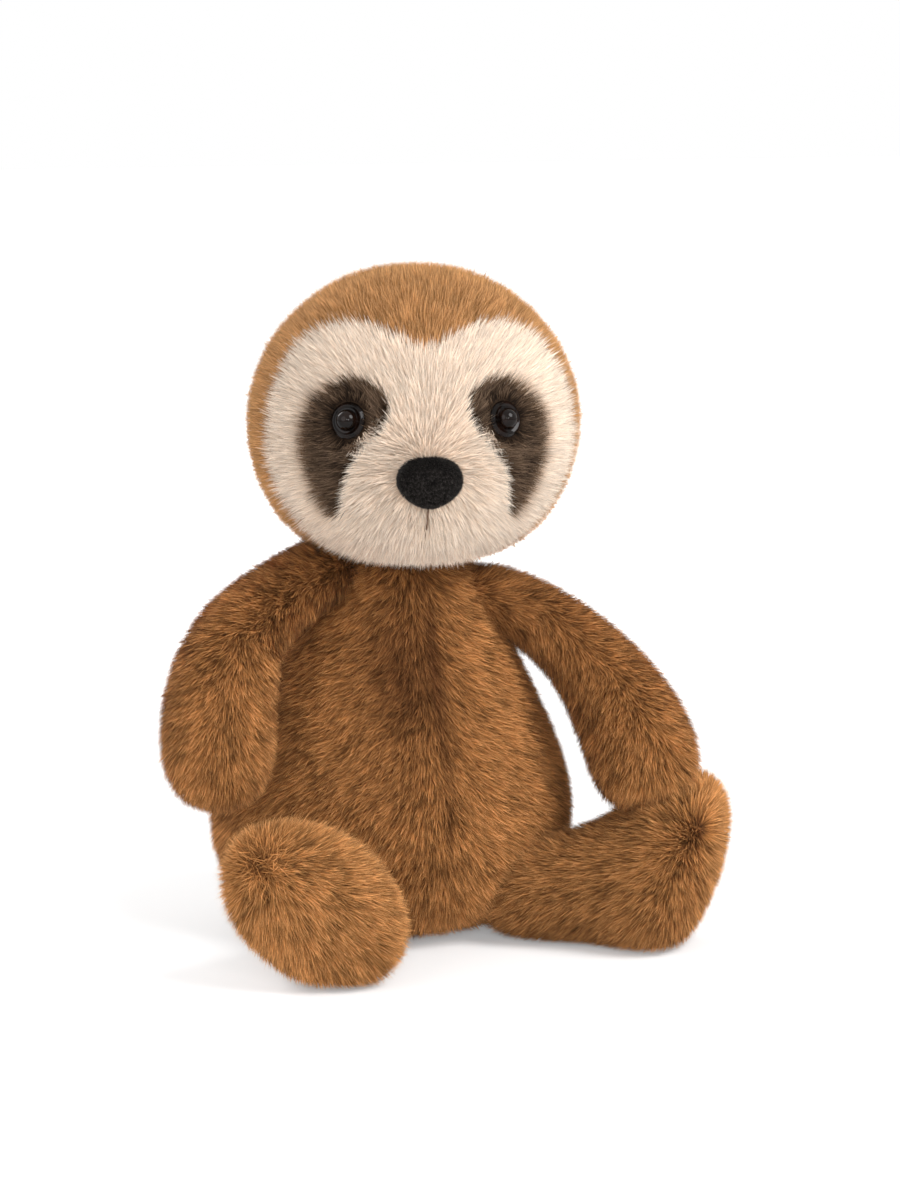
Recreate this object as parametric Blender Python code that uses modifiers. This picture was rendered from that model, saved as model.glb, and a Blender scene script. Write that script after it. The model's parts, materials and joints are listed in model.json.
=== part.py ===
"""Plush sloth, sitting: fur cloth sewn in panels over stuffing, with limbs that turn at their seams.

Metres, +Z up. The origin is on the ground under the middle of the seat.
The toy faces -Y, and +X is the toy's own left.
"""

import math

import bmesh
import bpy
from mathutils import Matrix, Vector
from mathutils.bvhtree import BVHTree

# Cloth, gaps and seams
plush_thickness = 0.0050
clearance = 0.0003
filling_clearance = 0.0010
joint_clearance = 0.0003
ground_cut = 0.0005

# Torso
torso_height = 0.1330
torso_half_width = 0.0595
torso_half_depth = 0.0500
side_seam_forward = 0.0040

# Bean pouch in the seat
pouch_half_width = 0.0460
pouch_half_depth = 0.0400
pouch_height = 0.0230

# Neck
neck_forward = 0.0040
neck_drop = 0.0290
neck_thread_radius = 0.0006

# Head
head_half_width = 0.0500
head_half_height = 0.0468
head_half_depth = 0.0450
head_side = 0.0008
head_forward = 0.0180
head_rise = 0.0325
head_turn_degrees = -16.5
muzzle_bulge = 0.0120

# Eyes: a turned dome on a ribbed shank, held by a washer behind the cloth
eye_side = 0.0248
eye_height = 0.0022
eye_radius = 0.0056
eye_dome_height = 0.0036
eye_rim_width = 0.0007
eye_rim_height = 0.0008
eye_sink = 0.0026
shank_radius = 0.0017
washer_radius = 0.0052
washer_thickness = 0.0014

# Nose and mouth
nose_half_width = 0.0104
nose_half_height = 0.0083
nose_depth = 0.0046
nose_drop = 0.0150
mouth_thread_radius = 0.0005
mouth_length = 0.0090

# Arms
arm_length = 0.0780
arm_radius = 0.0170
shoulder_radius = 0.0120
shoulder_right = (-0.0385, -0.0160)
shoulder_left = (0.0370, -0.0200)
shoulder_right_drop = 0.0200
shoulder_left_drop = 0.0330

# Legs
leg_length = 0.0345
hip_radius = 0.0166
foot_half_width = 0.0218
foot_half_height = 0.0312
hip_right = (-0.0436, -0.0567)
hip_left = (0.0530, -0.0485)
leg_right_degrees = 32.0
leg_left_degrees = 62.0
leg_roll_degrees = 42.0

# Cages and cutters
torso_sides = 8
head_sides = 8
limb_sides = 5
outer_levels = 2
inner_levels = 1
round_steps = 20
root_steps = 16
outline_steps = 2
dome_steps = 6
mouth_steps = 4
cut_reach = 0.4000
neck_rim_share = 0.40
root_reach_share = 1.5
leg_settle_share = 0.94
paw_lift_degrees = (0.0, 3.0, 6.0, 9.0, 12.0)
face_edge_share = 0.10

# Surfaces of the forms, as shares of the sizes above
torso_shares = (  # height, half-width, half-depth, forward
    (-0.009, 0.52, 0.50, 0.05),
    (0.090, 0.90, 0.90, 0.06),
    (0.300, 1.05, 1.05, 0.03),
    (0.560, 0.79, 0.81, 0.04),
    (0.820, 0.48, 0.54, 0.08),
    (0.985, 0.34, 0.40, 0.08),
)
head_shares = (  # height, half-width, half-depth, back
    (-1.02, 0.42, 0.42, 0.05),
    (-0.74, 0.86, 0.84, 0.05),
    (-0.12, 1.09, 1.06, 0.00),
    (0.50, 0.93, 0.92, 0.00),
    (1.00, 0.40, 0.40, -0.05),
)
muzzle_shares = (0.45, 1.00)
arm_width_shares = (0.62, 0.67, 0.90, 1.12, 0.92)
arm_right_shares = (  # across and along as shares of the arm's length, down of the shoulder's height over the leg
    (0.00, 0.00, 0.00),
    (-0.29, -0.09, -0.152),
    (-0.38, -0.16, -0.454),
    (-0.38, -0.21, -0.790),
)
arm_left_shares = (
    (0.00, 0.00, 0.00),
    (0.22, -0.19, -0.275),
    (0.29, -0.37, -0.540),
    (0.31, -0.47, -0.8145),
)
leg_shares = (  # along, half-width, half-height, tilt in degrees
    (-0.62, 0.70, 0.44, 0.0),
    (0.00, 0.72, 0.47, 0.0),
    (0.54, 1.16, 1.13, -18.0),
    (1.04, 0.88, 0.93, -25.0),
)
nose_ring_shares = (  # out, size
    (-0.60, 0.90),
    (0.30, 1.06),
    (0.85, 0.80),
    (1.00, 0.35),
)
nose_corner_shares = (0.90, 1.08, 1.00, 0.86, 0.98, 0.86, 1.00, 1.08)

# Outlines on the face, as shares of the head's half-width and half-height
face_outline_shares = (
    (0.00, 0.52),
    (-0.22, 0.62),
    (-0.44, 0.67),
    (-0.66, 0.61),
    (-0.85, 0.42),
    (-0.97, 0.10),
    (-0.96, -0.28),
    (-0.77, -0.64),
    (-0.42, -0.91),
    (0.00, -1.00),
    (0.42, -0.91),
    (0.77, -0.64),
    (0.96, -0.28),
    (0.97, 0.10),
    (0.85, 0.42),
    (0.66, 0.61),
    (0.44, 0.67),
    (0.22, 0.62),
)
patch_outline_shares = (
    (0.41, 0.31),
    (0.27, 0.21),
    (0.28, 0.06),
    (0.41, -0.12),
    (0.51, -0.33),
    (0.51, -0.56),
    (0.63, -0.43),
    (0.72, -0.15),
    (0.70, 0.11),
    (0.56, 0.28),
)

# Colours and finishes: base colour, roughness
finishes = {
    "caramel_plush": ((0.39, 0.19, 0.075), 0.95),
    "cream_plush": ((0.72, 0.57, 0.44), 0.95),
    "dark_plush": ((0.066, 0.043, 0.03), 0.95),
    "nose_velour": ((0.016, 0.013, 0.012), 0.90),
    "eye_plastic": ((0.008, 0.005, 0.004), 0.12),
    "washer_plastic": ((0.70, 0.69, 0.66), 0.50),
    "polyester_fibre": ((0.86, 0.85, 0.82), 0.95),
    "bean_cloth": ((0.60, 0.57, 0.51), 0.90),
    "brown_thread": ((0.13, 0.075, 0.045), 0.80),
}


def start_scene():
    for item in list(bpy.data.objects):
        bpy.data.objects.remove(item, do_unlink=True)
    made = {}
    for name in ("plush_sloth", "cutters"):
        made[name] = bpy.data.collections.new(name)
        bpy.context.scene.collection.children.link(made[name])
    return made["plush_sloth"], made["cutters"]


def add_object(name, mesh, collection, finish=None):
    item = bpy.data.objects.new(name, mesh)
    collection.objects.link(item)
    if finish:
        mesh.materials.append(finish_material(name, finish))
        mesh.shade_smooth()
    else:
        item.hide_render = True
        item.display_type = "WIRE"
    return item


def finish_material(name, finish):
    colour, roughness = finishes[finish]
    material = bpy.data.materials.new(name + "_" + finish)
    material.use_nodes = True
    shader = material.node_tree.nodes["Principled BSDF"]
    shader.inputs["Base Color"].default_value = (*colour, 1.0)
    shader.inputs["Roughness"].default_value = roughness
    shader.inputs["Metallic"].default_value = 0.0
    return material


# Cages: rings of points, drawn out one from the next


def ring_share(sides):
    """How far a cage ring stands outside the smooth surface that it makes."""
    return 6.0 / (4.0 + 2.0 * math.cos(2.0 * math.pi / sides))


def ring_matrix(centre, along, hint, wide, tall):
    side = along.cross(hint).normalized()
    up = side.cross(along).normalized()
    columns = (side * wide, up * tall, along.normalized())
    turned = Matrix([[column[row] for column in columns] for row in range(3)])
    return Matrix.Translation(centre) @ turned.to_4x4()


def cage_mesh(name, rings, sides, shape=None):
    bm = bmesh.new()
    bmesh.ops.create_circle(bm, segments=sides, radius=ring_share(sides))
    verts = list(bm.verts)
    edges = list(bm.edges)
    if shape:
        for vert, share in zip(verts, shape):
            vert.co *= share
    bmesh.ops.transform(bm, verts=verts, matrix=rings[0])
    bmesh.ops.contextual_create(bm, geom=edges)
    for before, after in zip(rings, rings[1:]):
        made = bmesh.ops.extrude_edge_only(bm, edges=edges)["geom"]
        verts = [piece for piece in made if isinstance(piece, bmesh.types.BMVert)]
        edges = [piece for piece in made if isinstance(piece, bmesh.types.BMEdge)]
        bmesh.ops.transform(bm, verts=verts, matrix=after @ before.inverted())
    bmesh.ops.contextual_create(bm, geom=edges)
    bmesh.ops.recalc_face_normals(bm, faces=bm.faces)
    return finish_mesh(name, bm)


def finish_mesh(name, bm):
    mesh = bpy.data.meshes.new(name)
    bm.to_mesh(mesh)
    bm.free()
    return mesh


def smooth(item, levels):
    modifier = item.modifiers.new("smooth", "SUBSURF")
    modifier.levels = levels
    modifier.render_levels = levels
    return item


def cut(item, cutter, operation="DIFFERENCE"):
    modifier = item.modifiers.new(operation.lower() + " " + cutter.name, "BOOLEAN")
    modifier.operation = operation
    modifier.object = cutter
    modifier.solver = "EXACT"
    return item


def surface_of(item):
    bpy.context.view_layer.update()
    return BVHTree.FromObject(item, bpy.context.evaluated_depsgraph_get())


# The rings of each form; inset draws the surface in, for a cavity or its filling


def torso_rings(inset=0.0):
    rings = []
    last = len(torso_shares) - 1
    for i, (height, wide, deep, forward) in enumerate(torso_shares):
        draw_in = {0: inset, last: -inset}.get(i, 0.0)
        centre = Vector((0.0, -forward * torso_half_depth, height * torso_height + draw_in))
        half_wide = wide * torso_half_width - inset
        half_deep = deep * torso_half_depth - inset
        rings.append(ring_matrix(centre, Vector((0, 0, 1)), Vector((0, 1, 0)), half_wide, half_deep))
    return rings


def head_frame():
    turn = Matrix.Rotation(math.radians(head_turn_degrees), 4, "Z")
    return Matrix.Translation((head_side, -head_forward, torso_height + head_rise)) @ turn


def head_rings(inset=0.0):
    rings = []
    last = len(head_shares) - 1
    for i, (height, wide, deep, back) in enumerate(head_shares):
        draw_in = {0: inset, last: -inset}.get(i, 0.0)
        centre = Vector((0.0, back * head_half_depth, height * head_half_height + draw_in))
        half_wide = wide * head_half_width - inset
        half_deep = deep * head_half_depth - inset
        rings.append(ring_matrix(centre, Vector((0, 0, 1)), Vector((0, 1, 0)), half_wide, half_deep))
    return rings


def pull_muzzle(mesh):
    """Draws the foremost point of the cheek rings out to make the muzzle."""
    for ring, share in enumerate(muzzle_shares, start=1):
        height = head_shares[ring][0] * head_half_height
        near = [v for v in mesh.vertices if abs(v.co.z - height) < clearance]
        front = min(near, key=lambda v: v.co.y)
        front.co.y -= share * muzzle_bulge


def arm_points(centre, path_shares):
    """The middle of the arm, which hangs from the shoulder towards the lap."""
    reach = (arm_length, arm_length, centre.z - ring_height(leg_shares[2]))
    return [centre + Vector(a * b for a, b in zip(share, reach)) for share in path_shares]


def arm_rings(centre, path_shares, inset=0.0):
    points = arm_points(centre, path_shares)
    back = (centre - points[1]).normalized()
    points.insert(0, centre + back * root_reach_share * shoulder_radius)
    last = len(points) - 1
    rings = []
    for i, point in enumerate(points):
        along = points[min(i + 1, last)] - points[max(i - 1, 0)]
        draw_in = {last: -inset}.get(i, 0.0)
        centre_in = point + along.normalized() * draw_in
        radius = arm_width_shares[i] * arm_radius - inset
        rings.append(ring_matrix(centre_in, along, Vector((0, 1, 0)), radius, radius))
    return rings


def ring_height(row):
    """How high a leg ring's centre is, so that the rolled ring rests on the ground."""
    if row[0] <= 0.0:
        return hip_radius - ground_cut
    roll = math.radians(leg_roll_degrees)
    tall = row[2] * foot_half_height * math.cos(roll)
    wide = row[1] * foot_half_width * math.sin(roll)
    return leg_settle_share * math.hypot(tall, wide) - ground_cut


def leg_rings(centre, degrees, side, inset=0.0):
    rings = []
    last = len(leg_shares) - 1
    turn = Matrix.Rotation(side * math.radians(degrees), 4, "Z")
    rolled = Matrix.Rotation(side * math.radians(leg_roll_degrees), 4, "Y")
    for i, row in enumerate(leg_shares):
        along, wide_share, tall_share, tilt = row
        wide = wide_share * foot_half_width
        tall = tall_share * foot_half_height
        draw_in = {last: -inset}.get(i, 0.0)
        place = turn @ Vector((0.0, -along * leg_length - draw_in, 0.0))
        place = Vector((centre.x + place.x, centre.y + place.y, ring_height(row)))
        lean = Matrix.Rotation(-math.radians(tilt), 4, "X")
        ring = ring_matrix(Vector(), Vector((0, -1, 0)), Vector((0, 0, 1)), wide - inset, tall - inset)
        rings.append(Matrix.Translation(place) @ turn @ rolled @ lean @ ring)
    return rings


# Seats of the limbs on the torso


def seat_on(tree, guess, radius):
    """The centre of a round limb end that lies against the torso."""
    point = tree.find_nearest(guess)[0]
    return point + (guess - point).normalized() * (radius + joint_clearance)


def ball_mesh(name, radius, steps=round_steps):
    bm = bmesh.new()
    bmesh.ops.create_uvsphere(bm, u_segments=steps, v_segments=steps // 2, radius=radius)
    return finish_mesh(name, bm)


def box_mesh(name, size):
    bm = bmesh.new()
    bmesh.ops.create_cube(bm, size=1.0)
    bmesh.ops.scale(bm, vec=size, verts=bm.verts)
    return finish_mesh(name, bm)


def facing(direction, at):
    """A frame at a point, with +Z along a direction."""
    turned = direction.to_track_quat("Z", "Y").to_matrix().to_4x4()
    return Matrix.Translation(at) @ turned


def root_cutter(name, centre, back, radius):
    """What rounds a limb's root to a ball: a block behind the centre, less the ball."""
    block_size = 3.0 * radius
    block = add_object(name + "_block", box_mesh(name, (block_size, block_size, block_size)), cutters)
    block.matrix_world = facing(back, centre + back * block_size / 2.0)
    ball = add_object(name + "_ball", ball_mesh(name + "_ball", radius, root_steps), cutters)
    ball.matrix_world = facing(back, centre)
    return cut(block, ball)


def turned(name, profile, collection, finish=None, steps=round_steps):
    """A profile at +X, listed down its outer side, turned about Z."""
    bm = bmesh.new()
    verts = [bm.verts.new((x, 0.0, z)) for x, z in profile]
    for before, after in zip(verts, verts[1:]):
        bm.edges.new((before, after))
    item = add_object(name, finish_mesh(name, bm), collection, finish)
    screw = item.modifiers.new("turn", "SCREW")
    screw.steps = steps
    screw.render_steps = steps
    screw.use_merge_vertices = True
    screw.merge_threshold = 0.00001
    return item


def region(name, low, high):
    size = [b - a for a, b in zip(low, high)]
    item = add_object(name, box_mesh(name, size), cutters)
    item.location = [(a + b) / 2.0 for a, b in zip(low, high)]
    return item


# Torso


def torso_form(name, inset, levels, collection, finish=None):
    mesh = cage_mesh(name, torso_rings(inset), torso_sides)
    return smooth(add_object(name, mesh, collection, finish), levels)


def make_torso():
    cavity = torso_form("torso_cavity", plush_thickness, inner_levels, cutters)
    seam = clearance / 2.0
    far = cut_reach
    back_y = -side_seam_forward
    spaces = {
        "torso_front_left_panel": ((seam, -far, 0.0), (far, back_y - seam, far)),
        "torso_front_right_panel": ((-far, -far, 0.0), (-seam, back_y - seam, far)),
        "torso_back_panel": ((-far, back_y + seam, 0.0), (far, far, far)),
    }
    panels = []
    for name, (low, high) in spaces.items():
        panel = torso_form(name, 0.0, outer_levels, pieces, "caramel_plush")
        cut(panel, cavity)
        cut(panel, region(name + "_space", low, high), "INTERSECT")
        panels.append(panel)
    return panels


def pouch_form(name, grow):
    item = add_object(name, ball_mesh(name, 1.0), cutters)
    item.location = (0.0, 0.0, plush_thickness)
    item.scale = (
        pouch_half_width + grow,
        pouch_half_depth + grow,
        pouch_height - plush_thickness + grow,
    )
    return item


def make_filling():
    inset = plush_thickness + filling_clearance
    stuffing = torso_form("torso_stuffing", inset, inner_levels, pieces, "polyester_fibre")
    cut(stuffing, pouch_form("pouch_room", clearance))
    pouch = torso_form("bean_pouch", inset, inner_levels, pieces, "bean_cloth")
    cut(pouch, pouch_form("pouch_shape", 0.0), "INTERSECT")
    return [stuffing, pouch]


# Neck: the head turns and nods on the round top of the torso, round the ring of thread


def neck_centre():
    return Vector((0.0, -neck_forward, torso_height - neck_drop))


def neck_dome(torso):
    """How far the top of the torso reaches from the neck's centre, and at what rise."""
    bpy.context.view_layer.update()
    graph = bpy.context.evaluated_depsgraph_get()
    shown = torso.evaluated_get(graph)
    mesh = shown.to_mesh()
    lowest = torso_height - (1.0 - neck_rim_share) * neck_drop
    spokes = [v.co - neck_centre() for v in mesh.vertices if v.co.z > lowest]
    shown.to_mesh_clear()
    longest = max(spokes, key=lambda spoke: spoke.length)
    return longest.length, math.atan2(longest.z, longest.xy.length)


def make_neck_thread(dome, rise):
    middle = dome + clearance + neck_thread_radius
    mesh = bpy.data.meshes.new("neck_seam_thread")
    bm = bmesh.new()
    section = bmesh.ops.create_circle(bm, segments=limb_sides, radius=neck_thread_radius)
    place = Matrix.Translation((middle * math.cos(rise), 0.0, middle * math.sin(rise)))
    upright = Matrix.Rotation(math.pi / 2.0, 4, "X")
    bmesh.ops.transform(bm, matrix=place @ upright, verts=section["verts"])
    bmesh.ops.spin(
        bm,
        geom=bm.verts[:] + bm.edges[:],
        cent=(0.0, 0.0, 0.0),
        axis=(0.0, 0.0, 1.0),
        angle=2.0 * math.pi,
        steps=2 * round_steps,
        use_merge=True,
    )
    bmesh.ops.recalc_face_normals(bm, faces=bm.faces)
    bm.to_mesh(mesh)
    bm.free()
    thread = add_object("neck_seam_thread", mesh, pieces, "brown_thread")
    thread.location = neck_centre()
    return thread


# Head


def head_form(name, inset, levels, collection, finish=None):
    mesh = cage_mesh(name, head_rings(inset), head_sides)
    pull_muzzle(mesh)
    item = smooth(add_object(name, mesh, collection, finish), levels)
    item.matrix_world = head_frame()
    return item


def rounded_outline(shares, side=1.0):
    """A smooth closed curve through points on the face, in metres right and up."""
    points = [Vector((side * u * head_half_width, v * head_half_height)) for u, v in shares]
    count = len(points)
    curve = []
    for i in range(count):
        a, b, c, d = (points[(i + k) % count] for k in (-1, 0, 1, 2))
        for step in range(outline_steps):
            t = step / outline_steps
            curve.append(
                0.5 * (2.0 * b + (c - a) * t + (2.0 * a - 5.0 * b + 4.0 * c - d) * t * t
                       + (3.0 * b - a - 3.0 * c + d) * t * t * t)
            )
    return curve


def grown(outline, grow):
    """The outline moved out along its own normals."""
    count = len(outline)
    area = sum(outline[i].cross(outline[(i + 1) % count]) for i in range(count))
    turn = 1.0 if area > 0.0 else -1.0
    moved = []
    for i, point in enumerate(outline):
        along = (outline[(i + 1) % count] - outline[i - 1]).normalized()
        moved.append(point + Vector((along.y, -along.x)) * turn * grow)
    return moved


def ahead_of(u, v):
    """How far forward a point of the face lies; past the head's edge it runs on at a slope."""
    inside = 1.0 - (u / head_half_width) ** 2 - (v / head_half_height) ** 2
    edge = math.sqrt(face_edge_share)
    if inside > face_edge_share:
        return head_half_depth * math.sqrt(inside)
    return head_half_depth * (edge + (inside - face_edge_share) / (2.0 * edge))


def face_cutter(name, outline):
    """A cone from the middle of the head through an outline on the face."""
    far = 2.0 * head_half_width
    bm = bmesh.new()
    bmesh.ops.create_cone(
        bm, cap_ends=True, cap_tris=True, segments=len(outline), radius1=far, radius2=0.0, depth=far
    )
    rim = [v for v in bm.verts if v.co.xy.length > head_half_width]
    tip = max(bm.verts, key=lambda v: v.co.z)
    rim.sort(key=lambda v: math.atan2(v.co.y, v.co.x))
    for vert, (u, v) in zip(rim, outline):
        vert.co = Vector((u, -ahead_of(u, v), v)).normalized() * far
    middle = sum((vert.co for vert in rim), Vector()).normalized() * far
    for vert in bm.verts:
        if vert not in rim and vert is not tip:
            vert.co = middle
    tip.co = (0.0, 0.0, 0.0)
    bm.normal_update()
    bmesh.ops.recalc_face_normals(bm, faces=bm.faces)
    item = add_object(name, finish_mesh(name, bm), cutters)
    item.matrix_world = head_frame()
    return item


def face_point(tree, right, up):
    """The point and normal of the head's surface in front, in the head's own frame."""
    point, normal, _, _ = tree.ray_cast(Vector((right, -cut_reach, up)), Vector((0.0, 1.0, 0.0)))
    return point, normal


def eye_frame(tree, side):
    point, normal = face_point(tree, side * eye_side, eye_height)
    return head_frame() @ facing(normal, point - normal * eye_sink)


def eye_profile():
    dome_radius = eye_radius - eye_rim_width
    profile = []
    for step in range(dome_steps + 1):
        turn = math.pi / 2.0 * step / dome_steps
        profile.append((dome_radius * math.sin(turn), eye_rim_height + eye_dome_height * math.cos(turn)))
    profile.append((dome_radius, eye_rim_height / 2.0))
    profile.append((eye_radius - eye_rim_width / 2.0, eye_rim_height))
    profile.append((eye_radius, eye_rim_height / 2.0))
    profile.append((eye_radius, 0.0))
    profile.append((shank_radius, 0.0))
    profile.append((shank_radius, -shank_length()))
    profile.append((0.0, -shank_length()))
    return profile


def washer_top():
    """How far below the eye's back the washer lies, pressed into the back of the cloth."""
    return plush_thickness - eye_sink + clearance


def shank_length():
    return washer_top() + 2.0 * washer_thickness


def make_eye(tree, side, word, patch, face, stuffing):
    frame = eye_frame(tree, side)
    eye = turned("eye_" + word, eye_profile(), pieces, "eye_plastic")
    eye.matrix_world = frame
    top = -washer_top()
    bottom = top - washer_thickness
    hole = shank_radius + clearance
    ring = [(hole, top), (washer_radius, top), (washer_radius, bottom), (hole, bottom), (hole, top)]
    washer = turned("eye_washer_" + word, ring, pieces, "washer_plastic")
    washer.matrix_world = frame
    pocket_radius = eye_radius + clearance
    depth = shank_length() + clearance
    pocket = [
        (0.0, 2.0 * plush_thickness),
        (pocket_radius, 2.0 * plush_thickness),
        (pocket_radius, -clearance),
        (hole, -clearance),
        (hole, clearance - washer_top()),
        (washer_radius + clearance, clearance - washer_top()),
        (washer_radius + clearance, -depth),
        (0.0, -depth),
    ]
    pocket_cutter = turned("eye_pocket_" + word, pocket, cutters)
    pocket_cutter.matrix_world = frame
    cut(patch, pocket_cutter)
    cut(face, pocket_cutter)
    room = [
        (0.0, 0.0),
        (washer_radius + clearance, 0.0),
        (washer_radius + clearance, -depth),
        (0.0, -depth),
    ]
    room_cutter = turned("washer_room_" + word, room, cutters)
    room_cutter.matrix_world = frame
    cut(stuffing, room_cutter)
    return [eye, washer]


def make_nose(tree, near_surface):
    point, normal = face_point(tree, 0.0, -nose_drop)
    normal = Vector((0.0, normal.y, normal.z)).normalized()
    rings = []
    for out, size in nose_ring_shares:
        centre = point + normal * out * nose_depth
        rings.append(
            ring_matrix(centre, normal, Vector((0, 0, 1)), size * nose_half_width, size * nose_half_height)
        )
    mesh = cage_mesh("nose", rings, head_sides, nose_corner_shares)
    nose = smooth(add_object("nose", mesh, pieces, "nose_velour"), outer_levels)
    nose.matrix_world = head_frame()
    return cut(nose, near_surface)


def make_mouth(tree):
    """A thread laid on the chin, straight down from the nose."""
    start = nose_drop + nose_half_height + 2.0 * mouth_thread_radius
    curve = bpy.data.curves.new("mouth_stitch", "CURVE")
    curve.dimensions = "3D"
    curve.bevel_depth = mouth_thread_radius
    curve.bevel_resolution = 1
    curve.use_fill_caps = True
    spline = curve.splines.new("POLY")
    spline.points.add(mouth_steps)
    for step, dot in enumerate(spline.points):
        down = start + mouth_length * step / mouth_steps
        point, normal = face_point(tree, 0.0, -down)
        place = point + normal * (mouth_thread_radius + clearance)
        dot.co = (*place, 1.0)
    stitch = bpy.data.objects.new("mouth_stitch", curve)
    pieces.objects.link(stitch)
    curve.materials.append(finish_material("mouth_stitch", "brown_thread"))
    stitch.matrix_world = head_frame()
    return stitch


def make_head(socket):
    surface = head_form("head_surface", 0.0, outer_levels, cutters)
    near_surface = head_form("head_surface_near", -clearance, outer_levels, cutters)
    cavity = head_form("head_cavity", plush_thickness, inner_levels, cutters)
    tree = surface_of(surface)
    face_outline = rounded_outline(face_outline_shares)
    face_cone = face_cutter("face_cone", face_outline)
    back = head_form("head_back_panel", 0.0, outer_levels, pieces, "caramel_plush")
    face = head_form("face_panel", 0.0, outer_levels, pieces, "cream_plush")
    for panel in (back, face):
        cut(panel, cavity)
        cut(panel, socket)
    cut(back, face_cutter("face_room", grown(face_outline, clearance)))
    cut(face, face_cone, "INTERSECT")
    inset = plush_thickness + filling_clearance
    stuffing = head_form("head_stuffing", inset, inner_levels, pieces, "polyester_fibre")
    cut(stuffing, socket)
    made = [back, face, stuffing]
    for side, word in ((1.0, "left"), (-1.0, "right")):
        outline = rounded_outline(patch_outline_shares, side)
        patch = head_form("eye_patch_" + word, 0.0, outer_levels, pieces, "dark_plush")
        cut(patch, cavity)
        cut(patch, face_cutter("patch_cone_" + word, outline), "INTERSECT")
        cut(face, face_cutter("patch_room_" + word, grown(outline, clearance)))
        made.append(patch)
        made += make_eye(tree, side, word, patch, face, stuffing)
    made.append(make_nose(tree, near_surface))
    made.append(make_mouth(tree))
    return made


# Limbs: a sleeve of cloth, open at its round root, over its own stuffing


def make_limb(name, rings_at, centre, back, radius, extra):
    root = root_cutter(name + "_root", centre, back, radius)
    cavity_mesh = cage_mesh(name + "_cavity", rings_at(plush_thickness), limb_sides)
    cavity = smooth(add_object(name + "_cavity", cavity_mesh, cutters), inner_levels)
    cover_mesh = cage_mesh(name + "_cover", rings_at(0.0), limb_sides)
    cover = smooth(add_object(name + "_cover", cover_mesh, pieces, "caramel_plush"), outer_levels)
    inner_mesh = cage_mesh(name + "_stuffing", rings_at(plush_thickness + filling_clearance), limb_sides)
    stuffing = smooth(add_object(name + "_stuffing", inner_mesh, pieces, "polyester_fibre"), inner_levels)
    cut(cover, cavity)
    for item in (cover, stuffing):
        cut(item, root)
        for cutter in extra:
            cut(item, cutter)
    return [cover, stuffing]


def paw_rooms(word, hip, degrees, side, shoulder):
    """The room that a paw leaves for the leg under it, at rest and as the arm lifts off."""
    rooms = []
    for lift in paw_lift_degrees:
        name = "paw_room_" + word + "_" + str(int(lift))
        mesh = cage_mesh(name, leg_rings(hip, degrees, side, -clearance), limb_sides)
        room = smooth(add_object(name, mesh, cutters), outer_levels)
        swing = Matrix.Rotation(math.radians(lift), 4, "X")
        room.matrix_world = Matrix.Translation(shoulder) @ swing @ Matrix.Translation(-shoulder)
        rooms.append(room)
    return rooms


def hang(name, centre, items):
    """An empty on the joint's axis that carries the pieces of one body."""
    pivot = bpy.data.objects.new(name, None)
    pieces.objects.link(pivot)
    pivot.location = centre
    bpy.context.view_layer.update()
    for item in items:
        item.parent = pivot
        item.matrix_parent_inverse = pivot.matrix_world.inverted()
    return pivot


pieces, cutters = start_scene()
torso_surface = torso_form("torso_surface", 0.0, outer_levels, cutters)
torso_tree = surface_of(torso_surface)
make_torso()
make_filling()

dome_radius, dome_rise = neck_dome(torso_surface)
thread = make_neck_thread(dome_radius, dome_rise)
socket_radius = (dome_radius + 2.0 * (clearance + neck_thread_radius)) / math.cos(math.pi / round_steps)
socket = add_object("neck_socket", ball_mesh("neck_socket", socket_radius), cutters)
socket.location = neck_centre()
hang("neck_pivot", neck_centre(), [thread])
hang("head_pivot", neck_centre(), make_head(socket))

ground = region("ground", (-cut_reach, -cut_reach, -cut_reach), (cut_reach, cut_reach, 0.0))
joint_centres = {"neck": neck_centre()}
for word, side, hip, degrees in (
    ("right", -1.0, hip_right, leg_right_degrees),
    ("left", 1.0, hip_left, leg_left_degrees),
):
    centre = seat_on(torso_tree, Vector((*hip, hip_radius - ground_cut)), hip_radius)
    back = Matrix.Rotation(side * math.radians(degrees), 3, "Z") @ Vector((0.0, 1.0, 0.0))

    def leg_rings_at(inset, centre=centre, degrees=degrees, side=side):
        return leg_rings(centre, degrees, side, inset)

    made = make_limb("leg_" + word, leg_rings_at, centre, back, hip_radius, [ground])
    hang("leg_" + word + "_pivot", centre, made)
    joint_centres["leg_" + word] = centre
for word, side, guess, drop, degrees, shares in (
    ("right", -1.0, shoulder_right, shoulder_right_drop, leg_right_degrees, arm_right_shares),
    ("left", 1.0, shoulder_left, shoulder_left_drop, leg_left_degrees, arm_left_shares),
):
    centre = seat_on(torso_tree, Vector((*guess, torso_height - drop)), shoulder_radius)
    rooms = paw_rooms(word, joint_centres["leg_" + word], degrees, side, centre)
    back = (centre - arm_points(centre, shares)[1]).normalized()

    def arm_rings_at(inset, centre=centre, shares=shares):
        return arm_rings(centre, shares, inset)

    made = make_limb("arm_" + word, arm_rings_at, centre, back, shoulder_radius, rooms)
    hang("arm_" + word + "_pivot", centre, made)
    joint_centres["arm_" + word] = centre
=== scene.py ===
# Plush sloth: real strands of pile over sewn skins, glossy safety eyes and a velour nose
import itertools
import json
import math

import bmesh
import bpy
import numpy as np
from mathutils import Matrix, Vector
from mathutils.bvhtree import BVHTree


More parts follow.
